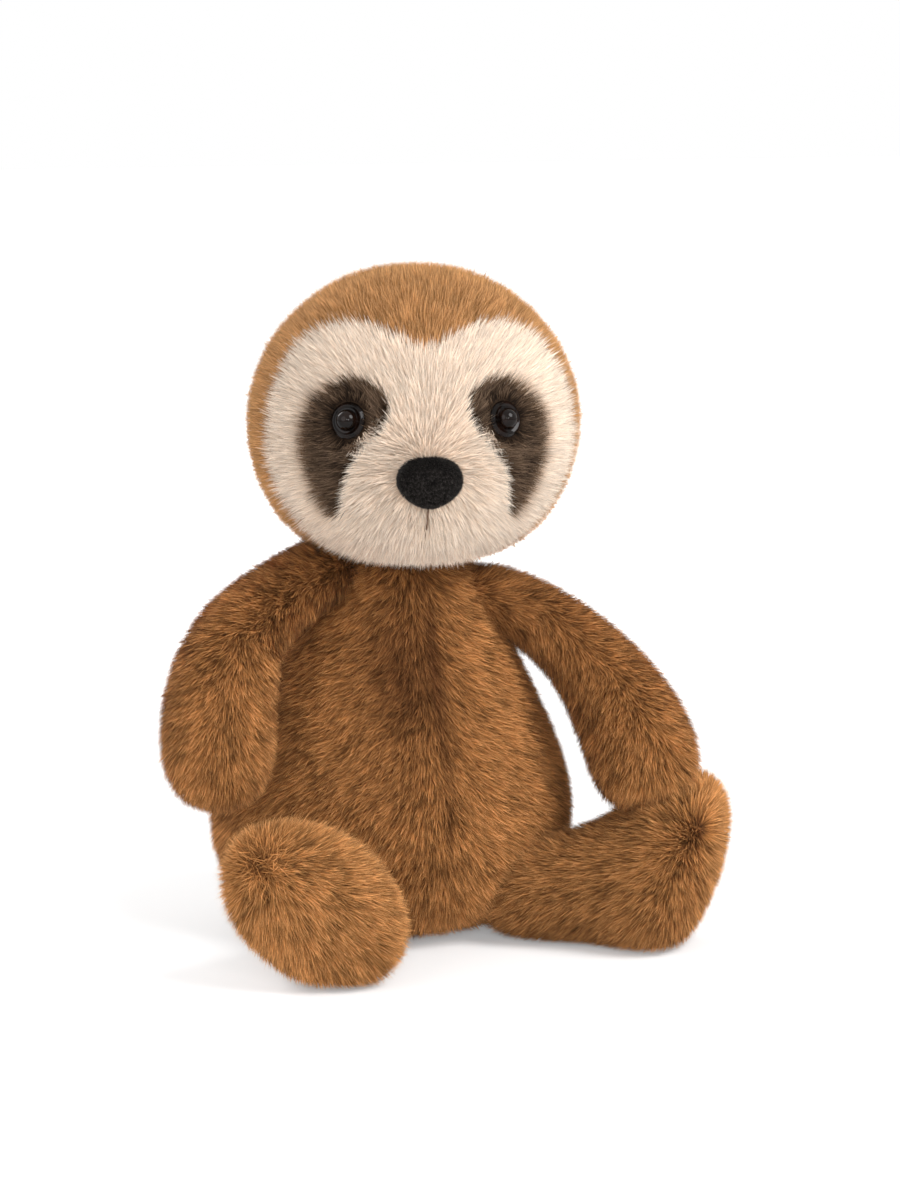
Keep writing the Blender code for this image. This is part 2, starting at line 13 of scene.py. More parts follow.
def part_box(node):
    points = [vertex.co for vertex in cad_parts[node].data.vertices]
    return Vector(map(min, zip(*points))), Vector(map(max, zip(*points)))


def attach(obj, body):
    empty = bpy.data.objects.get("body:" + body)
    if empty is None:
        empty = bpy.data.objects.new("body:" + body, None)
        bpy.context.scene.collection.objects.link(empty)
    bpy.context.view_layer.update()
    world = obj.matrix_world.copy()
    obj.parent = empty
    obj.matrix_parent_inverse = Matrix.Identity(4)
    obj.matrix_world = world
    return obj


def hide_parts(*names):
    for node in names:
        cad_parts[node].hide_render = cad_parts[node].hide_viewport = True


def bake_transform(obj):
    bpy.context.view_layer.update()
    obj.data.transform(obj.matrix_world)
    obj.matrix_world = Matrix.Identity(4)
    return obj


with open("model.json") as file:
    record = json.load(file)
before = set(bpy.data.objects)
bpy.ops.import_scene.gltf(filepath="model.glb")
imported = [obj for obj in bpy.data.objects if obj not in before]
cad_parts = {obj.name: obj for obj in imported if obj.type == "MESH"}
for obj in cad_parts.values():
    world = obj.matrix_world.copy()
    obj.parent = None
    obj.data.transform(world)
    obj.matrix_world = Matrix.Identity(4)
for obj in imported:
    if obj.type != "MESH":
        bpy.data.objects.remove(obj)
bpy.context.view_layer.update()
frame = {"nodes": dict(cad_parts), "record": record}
rng = np.random.default_rng(11)
print("frame loaded:", len(frame["nodes"]), "nodes")

mm = 0.001
upward, backward = Vector((0, 0, 1)), Vector((0, 1, 0))
hinges = {joint["child"]: Vector(joint["pos_m"]) for joint in frame["record"]["behaviour"]["joints"]}

# Camera: the photograph's own view, in a 900 by 1200 frame
view = {
    "azimuth": -22.0, "elevation": 9.5, "distance": 1.15,
    "target": (0.0, -0.010, 0.093),
    "lens": 110.2, "sensor": 36.0,
    "shift": (0.0404, 0.0333),
}


def makeCamera():
    turn, rise = math.radians(view["azimuth"]), math.radians(view["elevation"])
    away = Vector((math.sin(turn) * math.cos(rise), -math.cos(turn) * math.cos(rise), math.sin(rise)))
    data = bpy.data.cameras.new("photoCamera")
    data.lens = view["lens"]
    data.sensor_width = view["sensor"]
    data.shift_x, data.shift_y = view["shift"]
    camera = linked("photoCamera", data)
    camera.location = Vector(view["target"]) + away * view["distance"]
    camera.rotation_euler = (-away).to_track_quat("-Z", "Y").to_euler()
    bpy.context.scene.camera = camera


# Small tools for meshes


def linked(name, data):
    item = bpy.data.objects.new(name, data)
    bpy.context.scene.collection.objects.link(item)
    return item


def meshFrom(bm, name):
    mesh = bpy.data.meshes.new(name)
    bm.to_mesh(mesh)
    bm.free()
    return mesh


def evaluated(item, name):
    bpy.context.view_layer.update()
    graph = bpy.context.evaluated_depsgraph_get()
    mesh = bpy.data.meshes.new_from_object(item.evaluated_get(graph))
    mesh.name = name
    old = item.data
    bpy.data.objects.remove(item)
    bpy.data.meshes.remove(old)
    return mesh


def subdivided(bm, name, levels):
    item = linked(name, meshFrom(bm, name + "Cage"))
    smooth = item.modifiers.new("smooth", "SUBSURF")
    smooth.levels = smooth.render_levels = levels
    return evaluated(item, name)


def treeOf(mesh):
    bm = bmesh.new()
    bm.from_mesh(mesh)
    tree = BVHTree.FromBMesh(bm)
    bm.free()
    return tree


def vertexArray(mesh, field="co"):
    values = np.empty(len(mesh.vertices) * 3, np.float32)
    mesh.vertices.foreach_get(field, values)
    return values.reshape(-1, 3).astype(float)


def unit(vectors):
    length = np.linalg.norm(vectors, axis=-1, keepdims=True)
    return vectors / np.maximum(length, 1e-9)


def alongSkin(vectors, outward):
    return vectors - outward * (vectors * outward).sum(axis=1, keepdims=True)


def smoothStep(low, high, value):
    t = np.clip((value - low) / (high - low), 0.0, 1.0)
    return t * t * (3.0 - 2.0 * t)


def fade(span, value):  # the span is in millimetres
    return smoothStep(span[0] * mm, span[1] * mm, value)


def ringShare(sides):
    return 6.0 / (4.0 + 2.0 * math.cos(2.0 * math.pi / sides))  # a cage stands outside its smooth surface


def ringMatrix(centre, along, hint, wide, tall):
    side = along.cross(hint).normalized()
    up = side.cross(along).normalized()
    columns = (side * wide, up * tall, along.normalized())
    return Matrix.Translation(centre) @ Matrix([[c[row] for c in columns] for row in range(3)]).to_4x4()


def extruded(bm, edges):
    made = bmesh.ops.extrude_edge_only(bm, edges=edges)["geom"]
    return [[g for g in made if isinstance(g, kind)] for kind in (bmesh.types.BMVert, bmesh.types.BMEdge)]


def sweep(bm, verts, rings):
    edges = [e for e in bm.edges if e.verts[0] in verts]
    bmesh.ops.transform(bm, verts=verts, matrix=rings[0])
    bmesh.ops.contextual_create(bm, geom=edges)
    for before, after in zip(rings, rings[1:]):
        verts, edges = extruded(bm, edges)
        bmesh.ops.transform(bm, verts=verts, matrix=after @ before.inverted())
    bmesh.ops.contextual_create(bm, geom=edges)
    bmesh.ops.recalc_face_normals(bm, faces=bm.faces)


def sortByVerts(elements):  # extruding leaves them in an order that changes from run to run
    ranked = sorted(elements, key=lambda element: sorted(vert.index for vert in element.verts))
    elements.sort(key={element: rank for rank, element in enumerate(ranked)}.get)


def cage(rings, sides, shape=None):
    bm = bmesh.new()
    bmesh.ops.create_circle(bm, segments=sides, radius=ringShare(sides))
    verts = list(bm.verts)
    for vert, share in zip(verts, shape or []):
        vert.co *= share
    sweep(bm, verts, rings)
    bm.verts.index_update()
    sortByVerts(bm.edges)
    sortByVerts(bm.faces)
    return bm


def stackRings(form, height, inset):
    rings = []
    for i, (level, wide, deep, back) in enumerate(form["rings"]):
        drawIn = {0: inset, len(form["rings"]) - 1: -inset}.get(i, 0.0)
        centre = Vector((0.0, back * form["halfDepth"] * mm, level * height * mm + drawIn))
        halfWide = wide * form["halfWidth"] * mm - inset
        halfDeep = deep * form["halfDepth"] * mm - inset
        rings.append(ringMatrix(centre, upward, backward, halfWide, halfDeep))
    return rings


def spun(bm, steps):
    bmesh.ops.spin(bm, geom=bm.verts[:] + bm.edges[:], cent=(0, 0, 0), axis=upward, angle=2.0 * math.pi,
                   steps=steps, use_merge=True)
    bmesh.ops.remove_doubles(bm, verts=bm.verts, dist=0.01 * mm)
    bmesh.ops.recalc_face_normals(bm, faces=bm.faces)


def cutAway(bm, at, normal):
    bmesh.ops.bisect_plane(bm, geom=bm.verts[:] + bm.edges[:] + bm.faces[:], plane_co=at, plane_no=normal,
                           clear_outer=True)


def turnIn(bm, depth=2.0 * mm):
    rim = [e for e in bm.edges if e.is_boundary]
    if not rim:
        return
    bm.normal_update()
    verts, _ = extruded(bm, rim)
    for vert in verts:
        beside = [e.other_vert(vert) for e in vert.link_edges if e.other_vert(vert) not in verts]
        if beside:
            vert.co -= beside[0].normal * depth


def finishPiece(item, body, node):
    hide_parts(node)
    if isinstance(body, str):
        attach(item, body)
    else:
        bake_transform(item)


def finishSolid(bm, name, material, node, body, sharpFrom=None):
    mesh = meshFrom(bm, name)
    mesh.shade_smooth()
    if sharpFrom:
        mesh.set_sharp_from_angle(angle=math.radians(sharpFrom))
    mesh.materials.append(material)
    item = linked(name, mesh)
    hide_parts(node)
    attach(item, body)


makeCamera()

# Materials


def feed(tree, node, inputs):
    for key, value in inputs.items():
        if isinstance(value, bpy.types.NodeSocket):
            tree.links.new(value, node.inputs[key])
        else:
            node.inputs[key].default_value = value


def newMaterial(name, **sockets):
    material = bpy.data.materials.new(name)
    material.use_nodes = True
    tree = material.node_tree
    shader = tree.nodes["Principled BSDF"]
    feed(tree, shader, {socket.replace("_", " "): value for socket, value in sockets.items()})
    return material, tree, shader


def wire(tree, kind, inputs=None, **settings):
    node = tree.nodes.new(kind)
    for key, value in settings.items():
        setattr(node, key, value)
    feed(tree, node, inputs or {})
    return node


def reckon(tree, operation, *values, **settings):
    return wire(tree, "ShaderNodeMath", dict(enumerate(values)), operation=operation, **settings).outputs[0]


def mixColour(tree, factor, first, second, blend="MIX"):
    inputs = {0: factor, 6: first, 7: second}
    return wire(tree, "ShaderNodeMix", inputs, data_type="RGBA", blend_type=blend).outputs[2]


def rampValue(tree, value, low, high, toLow=0.0, toHigh=1.0):
    ends = {"Value": value, "From Min": low, "From Max": high, "To Min": toLow, "To Max": toHigh}
    return wire(tree, "ShaderNodeMapRange", ends, interpolation_type="SMOOTHSTEP").outputs["Result"]


def noise(tree, place, scale, detail=2.0):
    inputs = {"Vector": place, "Scale": scale, "Detail": detail}
    return wire(tree, "ShaderNodeTexNoise", inputs).outputs["Fac"]


def makePileGroup():
    tree = bpy.data.node_groups.new("pileTone", "ShaderNodeTree")
    sockets = {
        "Color": ("Root Colour", "Middle Colour", "Tip Colour", "Shade Colour"),
        "Float": ("Along", "Tone", "Shade", "Spread", "Mottle", "Patch Scale"),
        "Vector": ("Place",),
    }
    for kind, names in sockets.items():
        for name in names:
            tree.interface.new_socket(name, in_out="INPUT", socket_type="NodeSocket" + kind)
    tree.interface.new_socket("Colour", in_out="OUTPUT", socket_type="NodeSocketColor")
    given = tree.nodes.new("NodeGroupInput").outputs
    # strands darken from tip to root: partly their own tone, partly painted shade deep in the pile
    low = rampValue(tree, given["Along"], 0.05, 0.5)
    high = rampValue(tree, given["Along"], 0.45, 1.0)
    colour = mixColour(tree, low, given["Root Colour"], given["Middle Colour"])
    colour = mixColour(tree, high, colour, given["Tip Colour"])
    # the shade attribute mixes in the shade colour: painted shade on the chest, crown and limbs, plus the
    # seam line and the patch edges, which are the cloth's own
    colour = mixColour(tree, given["Shade"], colour, given["Shade Colour"])
    drift = reckon(tree, "SUBTRACT", noise(tree, given["Place"], given["Patch Scale"], 3.0), 0.5)
    single = reckon(tree, "SUBTRACT", given["Tone"], 0.5)
    spread = reckon(tree, "MULTIPLY", single, given["Spread"])
    sway = reckon(tree, "MULTIPLY_ADD", drift, given["Mottle"], spread)
    level = reckon(tree, "ADD", sway, 1.0)
    grey = wire(tree, "ShaderNodeCombineColor", {"Red": level, "Green": level, "Blue": level})
    colour = mixColour(tree, 1.0, colour, grey.outputs["Color"], "MULTIPLY")
    wire(tree, "NodeGroupOutput", {"Colour": colour})
    return tree


pileGroup = makePileGroup()


def pileMaterial(name, look):
    material, tree, shader = newMaterial(
        name, Roughness=0.85, Specular_IOR_Level=0.08, Sheen_Weight=look["sheen"], Sheen_Roughness=0.45,
        Sheen_Tint=(*look["sheenTint"], 1.0))
    words = ("root", "middle", "tip", "shade")
    inputs = {word.capitalize() + " Colour": (*look[word], 1.0) for word in words}
    inputs.update({"Spread": look["spread"], "Mottle": look["mottle"], "Patch Scale": look["patchScale"]})
    for socket, attribute, kind in (("Along", "along", "Fac"), ("Tone", "strandTone", "Fac"),
                                    ("Shade", "shade", "Fac"), ("Place", "rootPlace", "Vector")):
        inputs[socket] = wire(tree, "ShaderNodeAttribute", attribute_name=attribute).outputs[kind]
    tone = wire(tree, "ShaderNodeGroup", inputs, node_tree=pileGroup)
    feed(tree, shader, {"Base Color": tone.outputs["Colour"]})
    return material


def mottledMaterial(name, look):
    material, tree, shader = newMaterial(name, Roughness=look["roughness"])
    place = wire(tree, "ShaderNodeTexCoord").outputs["Object"]
    cloud = noise(tree, place, look["scale"], look["detail"])
    first, second = ((*colour, 1.0) for colour in look["colours"])
    colour = mixColour(tree, rampValue(tree, cloud, 0.3, 0.7), first, second)
    relief = {"Height": cloud, "Strength": look["bump"], "Distance": look["bumpHeight"]}
    bump = wire(tree, "ShaderNodeBump", relief)
    feed(tree, shader, {"Base Color": colour, "Normal": bump.outputs["Normal"]})
    return material


# Pile: blades of fibre planted on a skin, laid over, drawn into locks and trimmed

pile = {
    "density": 10.2,  # strands to a square millimetre
    "length": 5.4,  # millimetres
    "lengthSpread": 0.15,
    "shortest": 0.4,  # millimetres
    "longest": 1.35,  # of the length
    "width": 0.18,
    "guardShare": 0.22,  # strands that are longer, broader and paler
    "guardLength": 1.08, "guardWidth": 2.3, "guardTone": 0.55,
    "lay": 38.0,  # degrees off the skin
    "laySpread": 8.0,
    "swing": 15.0,  # degrees that single strands stray
    "strayShare": 0.8, "tangledShare": 4.0, "waveShare": 0.4,
    "waves": ((410.0, 0.0), (0.0, 370.0), (260.0, -330.0)),  # two slow waves across the cloth
    "roll": 72.0,
    "lock": 1.5,  # millimetres from one lock of strands to the next
    "lockPull": 0.38,
    "lit": 0.6,  # how much of a strand's shading follows the skin
    "tone": 0.38, "toneSpread": 0.6, "plainTone": -0.05, "skinTone": 0.5,
    # the skin reads a quarter of the way up a strand, so it shows dark, as painted shade in the gaps between
    # strands
    "skinAlong": 0.25,
    "skinDepth": 3.4,  # millimetres from the fur's surface down to the cloth
    "floorLift": 0.4,
    "overlap": 1.5,  # how far inside its neighbour a strand may still be rooted
    "restSlope": -0.9,  # where a piece rests on the ground, half the strands are left out
    "restHeight": 8.0, "restShare": 0.5, "quickShare": 0.2, "quickWidth": 2.0,
}


def bladeMesh(count):
    bm = bmesh.new()
    bmesh.ops.create_grid(bm, x_segments=1, y_segments=1, size=1.0)
    tip = [v for v in bm.verts if v.co.y > 0.99]
    bmesh.ops.pointmerge(bm, verts=tip, merge_co=(0.0, 1.0, 0.0))
    bm.verts.index_update()
    shape = np.array([(v.co.x, (v.co.y + 1.0) / 2.0) for v in bm.verts])
    item = linked("blades", meshFrom(bm, "blade"))
    repeat = item.modifiers.new("repeat", "ARRAY")
    repeat.fit_type = "FIXED_COUNT"
    repeat.count = count
    repeat.use_relative_offset = False
    return evaluated(item, "blades"), shape


def plantRoots(skin, density):
    skin.calc_loop_triangles()
    count = len(skin.loop_triangles)
    corners = np.empty(count * 3, np.int32)
    skin.loop_triangles.foreach_get("vertices", corners)
    corners = corners.reshape(-1, 3)
    points, normals = vertexArray(skin), vertexArray(skin, "normal")
    a, b, c = (points[corners[:, k]] for k in range(3))
    area = np.linalg.norm(np.cross(b - a, c - a), axis=1) / 2.0
    total = int(area.sum() / mm ** 2 * density * (1.0))
    reach = np.cumsum(area)
    spots = (np.arange(total) + rng.random(total)) / total * reach[-1]
    chosen = corners[np.minimum(np.searchsorted(reach, spots), count - 1)]
    u, v = rng.random(total), rng.random(total)
    fold = u + v > 1.0
    u[fold], v[fold] = 1.0 - u[fold], 1.0 - v[fold]
    shares = np.stack([1.0 - u - v, u, v], axis=1)[:, :, None]

    def carry(values):  # what a skin's vertices hold, read at the roots
        return (values.reshape(len(points), -1)[chosen] * shares).sum(axis=1)

    return carry(points), unit(carry(normals)), carry


def depthInside(points, name, most=30.0 * mm):
    depth = np.full(len(points), -most)
    solid = vertexArray(skins[name])
    low, high = solid.min(axis=0) - most, solid.max(axis=0) + most
    near = np.all((points > low) & (points < high), axis=1)
    for i in np.nonzero(near)[0]:
        spot, normal, _, distance = trees[name].find_nearest(Vector(points[i]), most)
        if spot is not None:
            depth[i] = distance if (Vector(points[i]) - spot).dot(normal) < 0.0 else -distance
    return depth


def findLocks(points, spacing):
    base = np.floor(points / spacing)
    best = np.full(len(points), np.inf)
    centre, tone = np.zeros_like(points), np.zeros(len(points))
    mixing = np.array(((127.1, 269.5, 419.2), (311.7, 183.3, 371.9), (74.7, 246.1, 168.2)))
    for step in itertools.product((-1.0, 0.0, 1.0), repeat=3):
        cell = base + step
        jitter = np.abs(np.modf(np.sin(cell @ mixing) * 4375.85)[0])  # fixed to its cell
        spot = (cell + jitter) * spacing
        gap = np.linalg.norm(spot - points, axis=1)
        closer = gap < best
        best[closer], centre[closer] = gap[closer], spot[closer]
        tone[closer] = jitter[closer].sum(axis=1) * 7.3 % 1.0
    return centre, tone


def addAttribute(mesh, name, values, kind="FLOAT", field="value"):
    attribute = mesh.attributes.new(name, kind, "POINT")
    attribute.data.foreach_set(field, np.asarray(values, np.float32).ravel())


def layCells(mesh, strands, shape, margin=0.12):
    perBlade = len(shape)
    loopVerts = np.empty(len(mesh.loops), np.int32)
    mesh.loops.foreach_get("vertex_index", loopVerts)
    starts = np.empty(len(mesh.polygons), np.int32)
    mesh.polygons.foreach_get("loop_start", starts)
    faceOf = np.searchsorted(starts, np.arange(len(mesh.loops)), side="right") - 1
    corner = np.arange(len(mesh.loops)) - starts[faceOf]
    onBlade = loopVerts < strands * perBlade
    bladeFaces = int(np.count_nonzero(onBlade[starts]))
    cell = np.where(onBlade, loopVerts // perBlade, strands + faceOf - bladeFaces)
    side = int(math.ceil(math.sqrt(cell.max() + 1)))
    square = np.array([(-1.0, 0.0), (1.0, 0.0), (1.0, 1.0), (-1.0, 1.0)])[corner % 4]
    local = np.where(onBlade[:, None], shape[loopVerts % perBlade], square)
    u = (cell % side + margin + (1.0 - 2.0 * margin) * (local[:, 0] + 1.0) / 2.0) / side
    v = (cell // side + margin + (1.0 - 2.0 * margin) * local[:, 1]) / side
    layer = mesh.uv_layers.new(name="OFBake")
    layer.data.foreach_set("uv", np.stack([u, v], axis=1).astype(np.float32).ravel())


def growPile(name, skin, roots, outward, flow, look, lengthShare=1.0, shade=0.0, tangle=0.0):
    fur = {**pile, **look}
    count = len(roots)
    lie = unit(alongSkin(flow, outward))
    cross = np.cross(outward, lie)
    wave = np.sin(roots @ np.array(fur["waves"])).sum(axis=1)
    stray = rng.normal(0.0, 1.0, count) * (fur["strayShare"] + fur["tangledShare"] * tangle)
    stray = np.radians(fur["swing"]) * (stray + wave * fur["waveShare"])
    lie = lie * np.cos(stray)[:, None] + cross * np.sin(stray)[:, None]
    cross = np.cross(outward, lie)
    guard = rng.random(count) < fur["guardShare"]
    length = fur["length"] * mm * (1.0 + rng.normal(0.0, fur["lengthSpread"], count)) * lengthShare
    length = length * np.where(guard, fur["guardLength"], 1.0)
    longest = fur["longest"] * fur["length"] * mm
    length = np.clip(length, fur["shortest"] * mm, longest)[:, None]
    lay = np.radians(fur["lay"] + rng.normal(0.0, fur["laySpread"], count))[:, None]
    heading = lie * np.cos(lay) + outward * np.sin(lay)
    centre, lockTone = findLocks(roots, fur["lock"] * mm)
    aside = alongSkin(centre - roots, outward)
    reach = heading * length + aside * (fur["lockPull"] * (0.4 + 1.2 * rng.random(count)))[:, None]

    blades, shape = bladeMesh(count)
    perBlade = len(shape)
    roll = np.radians(fur["roll"]) * (2.0 * rng.random(count) - 1.0)[:, None]
    across = outward * np.sin(roll) - cross * np.cos(roll)  # so that a blade's front faces out
    half = fur["width"] * mm / 2.0 * (0.75 + 0.5 * rng.random(count))
    half = half * np.where(guard, fur["guardWidth"], 1.0) * 1.0
    aslant = across[:, None] * (half[:, None] * shape[None, :, 0])[:, :, None]
    places = roots[:, None] + reach[:, None] * shape[None, :, 1, None] + aslant
    lowest = fur["floorLift"] * mm * (1.0 + 2.0 * rng.random(count))[:, None]
    places[:, :, 2] = np.maximum(places[:, :, 2], lowest)
    faceOut = unit(np.cross(across, reach))
    faceOut *= np.sign((faceOut * outward).sum(axis=1, keepdims=True))
    shaded = unit(fur["lit"] * outward + (1.0 - fur["lit"]) * faceOut)
    normals = np.repeat(shaded, perBlade, axis=0)

    bm = bmesh.new()
    bm.from_mesh(blades)
    bm.from_mesh(skin)
    mesh = meshFrom(bm, name)
    bpy.data.meshes.remove(blades)
    skinPoints, skinNormals = vertexArray(skin), vertexArray(skin, "normal")
    allPlaces = np.concatenate([places.reshape(-1, 3), skinPoints])
    mesh.vertices.foreach_set("co", allPlaces.astype(np.float32).ravel())
    tone = fur["tone"] + fur["toneSpread"] * (rng.random(count) + lockTone - 1.0)
    paler = fur["guardTone"] * rng.random(count)
    tone = np.clip(tone + np.where(guard, paler, fur["plainTone"]), 0.0, 1.0)

    def spread(values, forSkin):
        values = np.repeat(np.broadcast_to(values, count), perBlade)
        return np.concatenate([values, np.full(len(skinPoints), forSkin)])

    addAttribute(mesh, "strandTone", spread(tone, fur["skinTone"]))
    along = np.tile(shape[:, 1], count)
    addAttribute(mesh, "along", np.concatenate([along, np.full(len(skinPoints), fur["skinAlong"])]))
    addAttribute(mesh, "shade", spread(shade, 0.0))
    rootPlaces = np.concatenate([np.repeat(roots, perBlade, axis=0), skinPoints])
    addAttribute(mesh, "rootPlace", rootPlaces, "FLOAT_VECTOR", "vector")
    layCells(mesh, count, shape)
    mesh.shade_smooth()
    mesh.normals_split_custom_set_from_vertices(np.concatenate([normals, skinNormals]).tolist())
    mesh.materials.append(pileMaterial(name + "Pile", look))
    print(name, "strands", count, "triangles", count + 2 * len(skin.polygons))
    return linked(name, mesh)


def resting(outward, low=True):
    return (outward[:, 2] < pile["restSlope"]) & low & (rng.random(len(outward)) < pile["restShare"])


# Torso: two front panels that meet in a seam down the belly, and a back panel

torso = {
    "height": 133.0, "halfWidth": 59.5, "halfDepth": 50.0, "sideSeam": -4.0,
    "sides": 8,
    "rings": (  # height, half-width, half-depth, back
        (-0.009, 0.52, 0.50, -0.05), (0.09, 0.90, 0.90, -0.06), (0.30, 1.05, 1.05, -0.03),
        (0.56, 0.79, 0.81, -0.04), (0.82, 0.48, 0.54, -0.08), (0.985, 0.34, 0.40, -0.08),
    ),
    "headOverlap": 7.0,
    "front": (0.0, 20.0),  # where the pile starts to fan out
    "fanWidth": 16.0,
    "fan": (0.25, 0.85),  # at the back, and how much more in front
    "underneath": -0.93,
    # painted shade on the chest, under the head and between the arms
    "paintedChestShade": {"place": (-8.0, 88.0), "size": (13.0, 24.0), "shade": 0.75},
    "seam": {"width": 1.6, "rise": (20.0, 45.0), "shade": 0.40},
    "shaded": (10.0, 30.0),
}
caramel = {
    "root": (0.125, 0.050, 0.018),
    "middle": (0.37, 0.145, 0.042),
    "tip": (0.60, 0.285, 0.105),
    # the colour that painted shade and the darker seam line lead towards
    "shade": (0.115, 0.042, 0.015),
    "spread": 1.5, "mottle": 0.8, "patchScale": 95.0, "sheen": 0.12,
    "sheenTint": (1.0, 0.72, 0.45),
}
# painted light: a paler copy of caramel for the back and top of the head, standing in for the stronger light
# from above
litHeadLook = {
    **caramel, "middle": (0.42, 0.19, 0.065), "tip": (0.68, 0.37, 0.16), "spread": 1.0, "mottle": 0.6,
}


def torsoSkin(inset, levels):
    rings = stackRings(torso, torso["height"], inset)
    return subdivided(cage(rings, torso["sides"]), "torsoSkin", levels)


# Head

head = {
    "halfWidth": 50.0, "halfHeight": 46.8, "halfDepth": 45.0,
    "place": (0.8, -18.0, 165.5),
    "turn": -16.5, "muzzle": 12.0,
    "muzzleShares": (0.45, 1.0),
    "sides": 8,
    "rings": (  # height, half-width, half-depth, back
        (-1.02, 0.42, 0.42, 0.05), (-0.74, 0.86, 0.84, 0.05), (-0.12, 1.09, 1.06, 0.0),
        (0.50, 0.93, 0.92, 0.0), (1.0, 0.40, 0.40, -0.05),
    ),
    "edgeShare": 0.10,
}
faceOutline = (
    (0.00, 0.52), (-0.22, 0.62), (-0.44, 0.67), (-0.66, 0.60), (-0.82, 0.42), (-0.92, 0.10), (-0.91, -0.28),
    (-0.74, -0.62), (-0.42, -0.90), (0.00, -1.00), (0.42, -0.90), (0.75, -0.62), (0.93, -0.28), (0.94, 0.10),
    (0.83, 0.42), (0.66, 0.60), (0.44, 0.67), (0.22, 0.62),
)
patchOutline = (
    (0.41, 0.31), (0.26, 0.21), (0.27, 0.06), (0.40, -0.12), (0.51, -0.33), (0.53, -0.60), (0.66, -0.44),
    (0.75, -0.15), (0.72, 0.11), (0.57, 0.28),
)
headFrame = Matrix.Rotation(math.radians(head["turn"]), 4, "Z")
headFrame.translation = Vector(head["place"]) * mm


def inHead(points):
    return (points - np.array(headFrame.translation)) @ np.array(headFrame.to_3x3())


def headSkin(inset, levels):
    bm = cage(stackRings(head, head["halfHeight"], inset), head["sides"])
    for ring, share in enumerate(head["muzzleShares"], start=1):
        height = head["rings"][ring][0] * head["halfHeight"] * mm
        level = [v for v in bm.verts if abs(v.co.z - height) < 0.3 * mm]
        min(level, key=lambda v: v.co.y).co.y -= share * head["muzzle"] * mm
    return subdivided(bm, "headSkin", levels)


def faceShares(points):
    scale = np.array((head["halfWidth"], head["halfDepth"], head["halfHeight"])) * mm
    q = unit(points / scale)
    wide, ahead, up = q[:, 0], -q[:, 1], q[:, 2]
    edge = math.sqrt(head["edgeShare"])
    flat = np.maximum(wide ** 2 + up ** 2, 1e-9) / (2.0 * edge)
    rest = edge + (1.0 - head["edgeShare"]) / (2.0 * edge)
    reach = (-ahead + np.sqrt(ahead ** 2 + 4.0 * flat * rest)) / (2.0 * flat)
    scaleUp = np.where(ahead > edge, 1.0, reach)
    shares = np.stack([wide * scaleUp, up * scaleUp], axis=1)
    shares[ahead < -0.5] = 9.0  # the back of the head lies outside every outline
    return shares


def smoothOutline(shares, side=1.0, steps=8):
    points = np.array(shares) * (side, 1.0)
    count = len(points)
    curve = []
    for i in range(count):
        a, b, c, d = (points[(i + k) % count] for k in (-1, 0, 1, 2))
        for t in np.arange(steps) / steps:
            curve.append(0.5 * (2 * b + (c - a) * t + (2 * a - 5 * b + 4 * c - d) * t ** 2
                                + (3 * b - a - 3 * c + d) * t ** 3))
    return np.array(curve)


def insideOutline(points, outline):
    inside = np.zeros(len(points), bool)
    for a, b in zip(outline, np.roll(outline, -1, axis=0)):
        crosses = (a[1] > points[:, 1]) != (b[1] > points[:, 1])
        where = a[0] + (points[:, 1] - a[1]) * (b[0] - a[0]) / (b[1] - a[1] + 1e-12)
        inside ^= crosses & (points[:, 0] < where)
    return inside


def outlineGap(points, outline):
    gap = np.full(len(points), np.inf)
    scale = np.array((head["halfWidth"], head["halfHeight"]))
    p = points * scale
    for a, b in zip(outline * scale, np.roll(outline, -1, axis=0) * scale):
        along = b - a
        t = np.clip(((p - a) @ along) / max(along @ along, 1e-9), 0.0, 1.0)
        gap = np.minimum(gap, np.linalg.norm(p - a - t[:, None] * along, axis=1))
    return gap


outlines = {
    "face": smoothOutline(faceOutline),
    "left": smoothOutline(patchOutline),
    "right": smoothOutline(patchOutline, -1.0),
}


def regionsOf(shares):
    inFace, inLeft, inRight = (insideOutline(shares, outlines[word]) for word in ("face", "left", "right"))
    return {
        "headBack": ~inFace,
        "facePanel": inFace & ~inLeft & ~inRight,
        "eyePatchLeft": inLeft,
        "eyePatchRight": inRight,
    }


# Limbs

arm = {
    "length": 78.0, "radius": 17.0,
    "rootReach": {"right": 24.0, "left": 28.0},  # from the shoulder's centre into the torso
    "rootRise": 7.0,
    "widths": (0.72, 0.67, 0.90, 1.12, 0.92),
    "right": ((0, 0, 0), (-0.29, -0.09, -0.152), (-0.38, -0.16, -0.454), (-0.38, -0.21, -0.790)),
    "left": ((0, 0, 0), (0.22, -0.19, -0.275), (0.29, -0.37, -0.540), (0.31, -0.47, -0.8145)),
    "sides": 5, "fanWidth": 8.0, "fan": 0.55,
    "blend": (8.0, 12.0),  # from the shoulder towards the torso, and towards the paw
}
leg = {
    "length": 34.5, "hipRadius": 16.6, "halfWidth": 21.8, "halfHeight": 31.2,
    "degrees": {"right": 32.0, "left": 62.0},
    "roll": 42.0, "settle": 0.94, "groundCut": 0.5,
    "rings": {  # along, half-width, half-height, tilt in degrees
        "right": ((-1.0, 0.86, 0.52, 0.0), (0.0, 0.80, 0.50, 0.0), (0.54, 1.16, 1.13, -18.0),
                  (1.04, 0.90, 0.95, -23.0)),
        "left": ((-1.1, 0.90, 0.55, 0.0), (0.0, 0.84, 0.54, 0.0), (0.56, 1.16, 1.13, -14.0),
                 (1.14, 0.90, 0.93, -16.0)),
    },
    "sides": 5,
    "whorl": {"along": 1.1, "aside": -13.0, "up": 24.0, "size": (1.0, 11.0)},
    "drawBack": 0.2,
    "blend": (10.0, 12.0),
}


